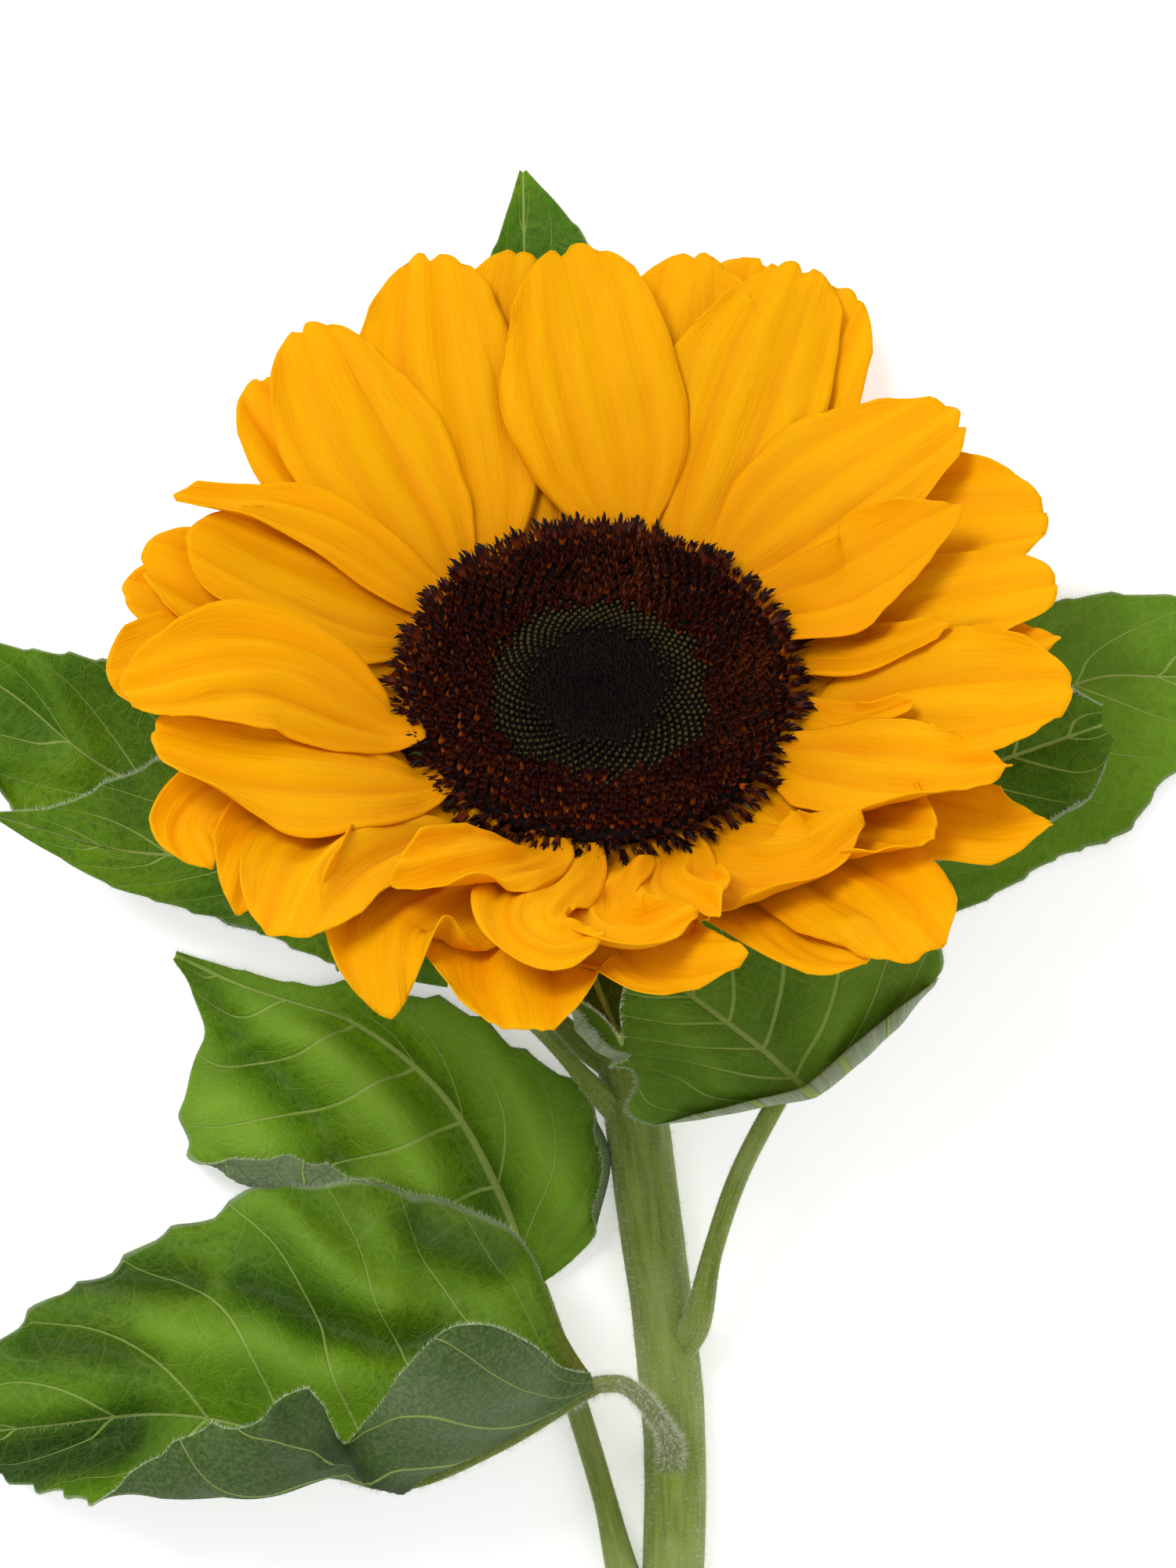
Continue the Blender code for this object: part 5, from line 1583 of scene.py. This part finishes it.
def turned(name, outline, sides, finish):
    """Spins an outline of (radius, height), in millimetres, round the head's axis."""
    builder = bmesh.new()
    around = builder.verts.layers.float.new("around")
    along_mm = builder.verts.layers.float.new("along_mm")
    corners = [builder.verts.new((radius * MM, 0, height * MM)) for radius, height in outline]
    edges = [builder.edges.new(pair) for pair in zip(corners, corners[1:])]
    whole_turn = dict(cent=(0, 0, 0), axis=(0, 0, 1), angle=math.tau, steps=sides, use_merge=True)
    bmesh.ops.spin(builder, geom=corners + edges, **whole_turn)
    bmesh.ops.remove_doubles(builder, verts=builder.verts, dist=DOUBLES * MM)
    bmesh.ops.recalc_face_normals(builder, faces=builder.faces)
    ranks = {}
    for corner in builder.verts:
        angle = math.atan2(corner.co.y, corner.co.x)
        spot = (math.hypot(corner.co.x, corner.co.y) / MM, corner.co.z / MM)
        ring = min(range(len(outline)), key=lambda k: math.dist(outline[k], spot))
        turn = round(angle / math.tau * sides) % sides if spot[0] > DOUBLES else 0
        ranks[corner] = (ring, turn)
        corner[around] = abs(angle) / math.pi
        corner[along_mm] = spot[1]
    bmesh.ops.transform(builder, matrix=to_head, verts=builder.verts)
    mesh = mesh_of(in_order(builder, ranks), name, finish)
    mesh.set_sharp_from_angle(angle=TURNED_EDGE)
    return add_object(name, mesh)


def filled_out(outline, step):
    """The outline with points added on its straight runs."""
    points = [outline[0]]
    for (r0, h0), (r1, h1) in zip(outline, outline[1:]):
        parts = max(1, round(math.hypot(r1 - r0, h1 - h0) / step))
        points += [(r0 + (r1 - r0) * k / parts, h0 + (h1 - h0) * k / parts) for k in range(1, parts + 1)]
    return points


# %% The receptacle
RECEPTACLE_OUTLINE = [
    (0, -25), (6.2, -25), (7.0, -23.9), (8.5, -22.6), (10.6, -20.9), (13, -19.4), (16.4, -17.5), (20, -15.6),
    (23, -13.8), (25.5, -12), (27.4, -10.4), (27.9, -9.3), (27.8, -8.4), (27, -7.6), (0, -7.6),
]
receptacle = turned("green_receptacle", filled_out(RECEPTACLE_OUTLINE, 1.2), 72, stem_skin)
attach(receptacle, ROOT)
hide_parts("receptacle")
print("receptacle", len(receptacle.data.polygons), "faces")

# %% [markdown]
# ## The bracts
#
# Bracts are the pointed green scales that were folded over the bud. Only their edges and tips show between
# the petals, so one row of them is enough here. Each could be made as a leaf's blade is, but a bract has no
# teeth and no stalk. It is a sheet like a petal, bent round the cup at its foot, hollowed along its middle
# and drawn out to a long tip.

# %% The bracts
BRACTS = 9
BRACT_LINE = [(0, 28.7, -9.6), (2, 44, -5.4), (-3, 61, -2.2)]
BRACT_OUTLINE = [(0, 0.45), (0.15, 0.8), (0.35, 1.0), (0.55, 0.82), (0.72, 0.42), (0.85, 0.16), (1, 0.02)]
BRACT_WIDTH = 17.0
BRACT_THICKNESS = 0.5 * MM
BRACT_SHADE = 0.85
CUP_RADIUS = 28.2  # of the receptacle where a bract's foot bends round it, in millimetres


def bract_sheet(azimuth, shift):
    """The grid of one bract; the shift makes its waves its own."""
    points = [head_point(azimuth + turn, radius, height) for turn, radius, height in BRACT_LINE]
    length = length_of(points)
    numbers = {"phase": 0.5, "gap_mm": 5.0, "across_mm": 0, "along_mm": 0, "margin": 0, "shade": BRACT_SHADE}
    sheet = Sheet(16, 34, numbers)
    for i, j, t, s in sheet.places():
        middle = along(points, t)
        ahead = heading(points, t)
        across = ahead.cross(face_normal).normalized()
        over = across.cross(ahead)
        half = BRACT_WIDTH * smooth_table(BRACT_OUTLINE, t) / 2
        drop = (1 - math.sqrt(1 - min(s * half / CUP_RADIUS, 1) ** 2)) * CUP_RADIUS * (1 - t)
        wave = noise.noise(middle * 60 + Vector((s, shift, 0))) * 1.2 * abs(s) * t
        cup = 0.6 * s * s - 0.35 * bell(s, 0.12) + wave
        corner = sheet.grid[i][j]
        corner.co = middle + (across * s * half - ahead * drop + over * cup) * MM
        numbers.update(across_mm=s * half, along_mm=t * length / MM, margin=abs(s))
        for number, value in numbers.items():
            corner[sheet.layers[number]] = value
    return sheet


bract_margins = []
for index in range(BRACTS):
    sheet = bract_sheet(360 / BRACTS * (index + 0.5), index)
    seat_on_solid(sheet, f"bract_{index + 1}", face_normal)
    bract_margins.append(margin_lines(sheet))
    piece = sheet.finish(f"green_bract_{index + 1}", BRACT_THICKNESS, leaf_upper, leaf_under, face_normal)
    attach(piece, ROOT)
    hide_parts(f"bract_{index + 1}")
print(BRACTS, "bracts")

# %% [markdown]
# ## The disc
#
# The disc is a cushion packed with florets in golden-angle spirals. Four kinds are seen from the middle
# out. Dark bristles cover the youngest buds. A ring of olive buds stands in clear spiral rows. Then come the
# open florets, orange-brown tubes with five lobes and a dark hooked tip. At the rim the tips grow longer and
# lean out over the petals.
#
# Particles or instances would scatter them, but each finished piece has to be one plain mesh. So each kind
# is one small shape, copied to every place of its zone and joined into one piece, with a number stored on
# each copy for the finish.

# %% Copies of a small shape
FLORET_EDGE = math.radians(55)


class Template:
    """A small shape kept as triangles, with how far up it each point is."""

    def __init__(self, builder):
        bmesh.ops.recalc_face_normals(builder, faces=builder.faces)
        bmesh.ops.triangulate(builder, faces=builder.faces)
        builder.verts.index_update()
        self.points = np.array([corner.co[:] for corner in builder.verts])
        self.triangles = np.array([[corner.index for corner in face.verts] for face in builder.faces])
        low, high = self.points[:, 2].min(), self.points[:, 2].max()
        self.tip = (self.points[:, 2] - low) / (high - low)
        builder.free()


def scatter(name, template, matrices, numbers, finish):
    """One piece made of a copy of the template at every matrix."""
    count = len(matrices)
    turns = np.array([[row[:] for row in matrix] for matrix in matrices])
    points = np.einsum("nij,kj->nki", turns[:, :3, :3], template.points) + turns[:, None, :3, 3]
    triangles = template.triangles[None] + (np.arange(count) * len(template.points))[:, None, None]
    mesh = bpy.data.meshes.new(name)
    mesh.from_pydata(points.reshape(-1, 3).tolist(), [], triangles.reshape(-1, 3).tolist())
    stored = {"tip": np.tile(template.tip, count)}
    for number, values in numbers.items():
        stored[number] = np.repeat(np.array(values), len(template.points))
    for number, values in stored.items():
        mesh.attributes.new(number, "FLOAT", "POINT").data.foreach_set("value", values.astype(np.float32))
    mesh.shade_smooth()
    mesh.set_sharp_from_angle(angle=FLORET_EDGE)
    mesh.materials.append(finish)
    print(name, count, "copies,", len(mesh.polygons), "triangles")
    return add_object(name, mesh)


# %% [markdown]
# ## The shape of a floret
#
# An open floret is a small tube with five pointed lobes, and a hooked column stands in it. It is under two
# millimetres across, so a few dozen faces are enough. It could be cut out of a cylinder, but pulling one
# face at a time out of a cone keeps it closed. A bud is the same cone, rounded off, and a bristle a thin one.

# %% The florets' shapes, in millimetres, leaning towards their own x
def pulled(builder, face, shift, scale):
    """Extrudes one face, moves it and scales it about its middle; the new face is returned."""
    made = bmesh.ops.extrude_discrete_faces(builder, faces=[face])["faces"][0]
    middle = made.calc_center_median()
    for corner in made.verts:
        corner.co = middle + (corner.co - middle) * scale + Vector(shift)
    return made


def top_face(verts):
    faces = {face for corner in verts for face in corner.link_faces}
    return max(faces, key=lambda face: face.calc_center_median().z)


def standing_cone(builder, sides, foot, head, height):
    """A closed cone or tube whose foot is at height 0."""
    lift = Matrix.Translation((0, 0, height / 2))
    made = bmesh.ops.create_cone(
        builder, cap_ends=True, segments=sides, radius1=foot, radius2=head, depth=height, matrix=lift
    )
    return made["verts"]


def floret(lobe_height, lobe_spread, column_height):
    """A tube with five pointed lobes, a sunken throat, and a hooked column standing in it."""
    builder = bmesh.new()
    corolla = top_face(standing_cone(builder, 10, 0.3, 0.42, 1.3))
    throat = pulled(builder, corolla, (0, 0, -0.4), 0.55)
    inner = list(throat.verts)
    lobes = [e.other_vert(v) for v in inner for e in v.link_edges if e.other_vert(v) not in inner]
    for k, corner in enumerate(sorted(lobes, key=lambda v: math.atan2(v.co.y, v.co.x))):
        corner.co.xy *= lobe_spread if k % 2 else 0.85
        corner.co.z += lobe_height if k % 2 else -0.1
    column = top_face(standing_cone(builder, 5, 0.2, 0.22, 0.6 * column_height))
    column = pulled(builder, column, (0.15, 0, 0.25 * column_height), 0.9)
    pulled(builder, column, (0.45, 0, 0.15 * column_height), 0.08)
    return Template(builder)


def bud():
    builder = bmesh.new()
    top = top_face(standing_cone(builder, 6, 0.3, 0.33, 0.7))
    top = pulled(builder, top, (0, 0, 0.22), 0.6)
    pulled(builder, top, (-0.03, 0, 0.06), 0.3)
    return Template(builder)


def bristle():
    builder = bmesh.new()
    top = top_face(standing_cone(builder, 4, 0.13, 0.1, 0.5))
    pulled(builder, top, (-0.15, 0, 0.75), 0.08)
    return Template(builder)


# Each kind's shape is made once
SHAPES = {
    "bristle": bristle(),
    "bud": bud(),
    "open": floret(lobe_height=0.45, lobe_spread=1.5, column_height=1.7),
    "rim": floret(lobe_height=0.8, lobe_spread=1.7, column_height=2.6),
}
for kind, shape in SHAPES.items():
    print("one", kind, "shape has", len(shape.triangles), "triangles")

# %% [markdown]
# ## The florets' finishes
#
# Each kind of floret is one colour at its foot, another half way up and a third at its tip. Three materials
# would meet in hard rings. The finish reads how far up its own shape a point is, stored on every copy, and
# blends the three. A second stored number, from chance, makes some florets differ from those beside them.


# %% The florets' finishes
def floret_finish(name, foot, middle, tip, shine):
    paint = Finish(name, Roughness=0.55, Specular_IOR_Level=shine)
    height = paint.stored("tip")
    colour = paint.over(foot, middle, paint.rise(height, 0.25, 0.7))
    colour = paint.over(colour, tip, paint.rise(height, 0.5, 0.85))
    colour = paint.over(colour, middle, paint.stored("chance"), 0.8)
    colour = paint.over(colour, foot, paint.rise(paint.noise(70, 2.0), 0.45, 0.75), 0.08)
    return paint.done(colour)


floret_brown = floret_finish("floret_brown", rgb(206, 100, 12), rgb(62, 17, 9), rgb(12, 4, 9), 0.1)
floret_purple = floret_finish("floret_purple", rgb(110, 42, 10), rgb(30, 8, 10), rgb(13, 4, 10), 0.12)
bud_olive = floret_finish("bud_olive", rgb(6, 5, 4), rgb(12, 10, 7), rgb(74, 66, 31), 0.1)
bristle_dark = floret_finish("bristle_dark", rgb(3, 2, 2), rgb(8, 6, 7), rgb(16, 13, 15), 0.15)

cushion_paint = Finish("cushion_dark", Roughness=0.85, Specular_IOR_Level=0.1)
cushion_grain = cushion_paint.noise(1200, 3.0)
cushion_paint.bump(cushion_grain, 0.0003, 0.8)
cushion_dark = cushion_paint.done(cushion_paint.over(rgb(5, 3, 3), rgb(24, 10, 5), cushion_grain))
print("four floret finishes and one for the cushion")

# %% [markdown]
# ## Where the florets stand
#
# A sunflower sets each floret about 137.5 degrees round from the one before, and that one rule packs them
# into the spirals that are seen. Rings laid by hand would never give them. The florets differ in size, so
# the radius grows until the disc has room for one more at the spacing found there. Each floret stands on
# the cushion, leans as its neighbours do, and sways a little by chance.

# %% The cushion
DISC_OUTLINE = [
    (0, -7.0), (27, -7.0), (27, -2.4), (27.6, -1.5), (27.9, -0.9), (27.6, -0.4), (26.8, -0.1), (23, -1.2),
    (19, -2.4), (16, -2.7), (12, -1.8), (8, -1.0), (4, -0.5), (0, -0.4),
]
cushion = turned("disc_cushion", filled_out(DISC_OUTLINE, 1.0), 96, cushion_dark)
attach(cushion, ROOT)
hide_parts("disc")
print("cushion", len(cushion.data.polygons), "faces")

# %% The florets' places
GOLDEN_ANGLE = 137.508
GROWTH = 0.002  # how finely the radius grows while it looks for room, in millimetres
PACKING = 0.87
SPACING = [(0, 0.62), (8, 0.75), (12, 0.95), (16, 1.15), (19, 1.5), (22, 1.6), (26, 1.4), (29.2, 1.3)]
SURFACE = [
    (0, -0.4), (4, -0.5), (8, -1.0), (12, -1.8), (16, -2.7), (19, -2.4), (23, -1.2), (26.8, -0.2),
    (27.8, -0.6), (28.5, -1.4), (29.2, -2.3),
]
LEAN = [(0, 0), (6, -20), (14, -14), (19, 0), (24, 4), (26.8, 10), (28, 40), (29.2, 62)]
BRISTLE_EDGE, BUD_EDGE, RIM_EDGE, DISC_EDGE = 10.2, 16.5, 26.8, 29.2
RAGGED = 1.2  # how far the edge between two kinds wanders, in millimetres
SUNK = 0.35  # how far a floret's foot is below the cushion's surface
SWAY = {"bristle": 24, "bud": 5, "open": 20, "rim": 28}
SIZE = {"bristle": 1.15, "bud": 1.05, "open": 1.3, "rim": 1.2}


def kind_at(radius):
    """Which kind of floret grows at a radius."""
    edges = (("bristle", BRISTLE_EDGE), ("bud", BUD_EDGE), ("open", RIM_EDGE))
    return next((kind for kind, edge in edges if radius < edge), "rim")


chance = random.Random(7)
zones = {kind: [] for kind in SHAPES}
radius, packed, grown = 0.0, 0.0, 0
while radius < DISC_EDGE:
    while packed < grown:
        radius += GROWTH
        packed += math.tau * radius * GROWTH / (PACKING * smooth_table(SPACING, radius) ** 2)
    grown += 1
    azimuth = grown * GOLDEN_ANGLE
    low, high = smooth_table(SURFACE, max(radius - 0.3, 0)), smooth_table(SURFACE, radius + 0.3)
    slope = max(math.atan2(high - low, 0.6), -0.4)
    kind = kind_at(radius + chance.uniform(-RAGGED, RAGGED))
    lean = math.radians(smooth_table(LEAN, radius) + chance.uniform(-SWAY[kind], SWAY[kind])) - slope
    size = chance.uniform(0.85, 1.15) * SIZE[kind]
    luck = chance.random()
    if kind == "bud":
        luck = 1 - step_up(radius + chance.uniform(-1, 1), 10, 14.5) * 0.9
    if kind == "rim":
        size *= chance.uniform(0.6, 1.25)
    place = (
        to_head
        @ Matrix.Rotation(math.radians(90 - azimuth), 4, "Z")
        @ Matrix.Translation((radius * MM, 0, (smooth_table(SURFACE, radius) - SUNK) * MM))
        @ Matrix.Rotation(lean, 4, "Y")
        @ Matrix.Rotation(chance.uniform(-0.6, 0.6), 4, "Z")
        @ Matrix.Scale(size * MM, 4)
    )
    zones[kind].append((place, luck))
    if kind == "bud":
        zones["bristle"].append((place @ Matrix.Translation((0.3, 0.15, 0.4)), luck))
print(grown, "florets, buds and bristles in the spirals")

# %% Make the florets
PIECES = {
    "bristle": ("disc_bristles", bristle_dark),
    "bud": ("disc_buds", bud_olive),
    "open": ("disc_florets", floret_brown),
    "rim": ("disc_rim_florets", floret_purple),
}
for kind, (name, finish) in PIECES.items():
    places, lucks = zip(*zones[kind])
    piece = scatter(name, SHAPES[kind], places, {"chance": lucks}, finish)
    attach(piece, ROOT)

# %% [markdown]
# ## Hairs
#
# The whole green plant is covered in short stiff white hairs. They show most along the stem's outline and
# the leaves' margins. Hair strands aren't part of a mesh and would be lost with it, so each hair is a
# three-sided cone. On the stem the hairs stand on faces picked at random, by area; on a margin they point
# out of the blade.


# %% Hairs on stalks and margins
def hair():
    builder = bmesh.new()
    standing_cone(builder, 3, 1.0, 0.0, 1.0)
    return Template(builder)


hair_template = hair()


def hair_place(root, direction, length, radius):
    turn = direction.to_track_quat("Z", "Y").to_matrix().to_4x4()
    size = Matrix.Diagonal((radius * MM, radius * MM, length * MM, 1))
    return Matrix.Translation(root) @ turn @ size


def hairs_on(obj, count, length, radius, seed, keep=None):
    """Places for hairs standing on the faces of an object, by area, leaving out those under the table."""
    picker = random.Random(seed)
    faces = [face for face in obj.data.polygons if keep is None or keep(face)]
    picked = picker.choices(faces, weights=[face.area for face in faces], k=count)
    places = []
    for face in picked:
        ends = [obj.data.vertices[v].co for v in face.vertices]
        near = ends[0].lerp(ends[1], picker.random())
        root = near.lerp(ends[2].lerp(ends[-1], picker.random()), picker.random())
        jitter = Vector([picker.gauss(0, 0.35) for axis in range(3)])
        direction = (face.normal + jitter).normalized()
        reach = length * picker.uniform(0.5, 1.3)
        if (root + direction * reach * MM).z > 0 and root.z > radius * MM:
            places.append(hair_place(root, direction, reach, radius))
    return places


def hairs_along(lines, per_mm, length, radius, seed):
    """Places for hairs that point out of a blade, from its margin and the line next to it."""
    picker = random.Random(seed)
    places = []
    for outer, inner in ((lines[0], lines[1]), (lines[3], lines[2])):
        for k in range(1, len(outer) - 1):
            step = (outer[k + 1] - outer[k]).length / MM
            for _ in range(int(step * per_mm + picker.random())):
                root = outer[k].lerp(outer[k + 1], picker.random())
                out = (outer[k] - inner[k]).normalized()
                direction = (out + Vector([picker.gauss(0, 0.45) for axis in range(3)])).normalized()
                reach = length * picker.uniform(0.4, 1.3)
                if (root + direction * reach * MM).z > 0 and root.z > radius * MM:
                    places.append(hair_place(root, direction, reach, radius))
    return places


print("one hair has", len(hair_template.triangles), "triangles")

# %% Hairs of the stem and the receptacle
HAIR_RADIUS = 0.022
STEM_HAIR_LENGTH = 0.8
STEM_HAIRS, RECEPTACLE_HAIRS = 30000, 2500

places = hairs_on(stem_piece, STEM_HAIRS, STEM_HAIR_LENGTH, HAIR_RADIUS, 11)
places += hairs_on(receptacle, RECEPTACLE_HAIRS, STEM_HAIR_LENGTH, HAIR_RADIUS, 12)
stem_hairs = scatter("stem_hairs", hair_template, places, {}, hair_white)
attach(stem_hairs, ROOT)

# %% Hairs of the leaves and the bracts
# Hairs for each millimetre of margin, their length and their radius, in millimetres
LEAF_MARGIN_HAIRS = (8.0, 0.8, 0.026)
BRACT_MARGIN_HAIRS = (4.0, 0.9, 0.035)
# How many hairs a leaf's stalk has, and their length: a flushed stalk is woollier
PLAIN_STALK, FLUSHED_STALK = (2200, 0.65), (6000, 1.1)

places = []
for rank, (name, lines) in enumerate(leaf_margins.items()):
    places += hairs_along(lines, *LEAF_MARGIN_HAIRS, 20 + rank)
    piece = leaf_pieces[name]
    stalk_slots = [slot for slot, finish in enumerate(piece.data.materials) if finish == stem_skin]
    amount, length = FLUSHED_STALK if LEAVES[name]["flush"] else PLAIN_STALK
    places += hairs_on(
        piece, amount, length, HAIR_RADIUS, 40 + rank, lambda face: face.material_index in stalk_slots
    )
for rank, lines in enumerate(bract_margins):
    places += hairs_along(lines, *BRACT_MARGIN_HAIRS, 60 + rank)
leaf_hairs = scatter("leaf_hairs", hair_template, places, {}, hair_white)
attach(leaf_hairs, ROOT)

# %% [markdown]
# ## Both boxes
#
# The looks may stand only a little proud of the solids. Both boxes are kept, so that they can be compared.

# %% Keep both boxes and finish
both_boxes = [[list(map(float, corner)) for corner in box] for box in (cad_box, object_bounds())]
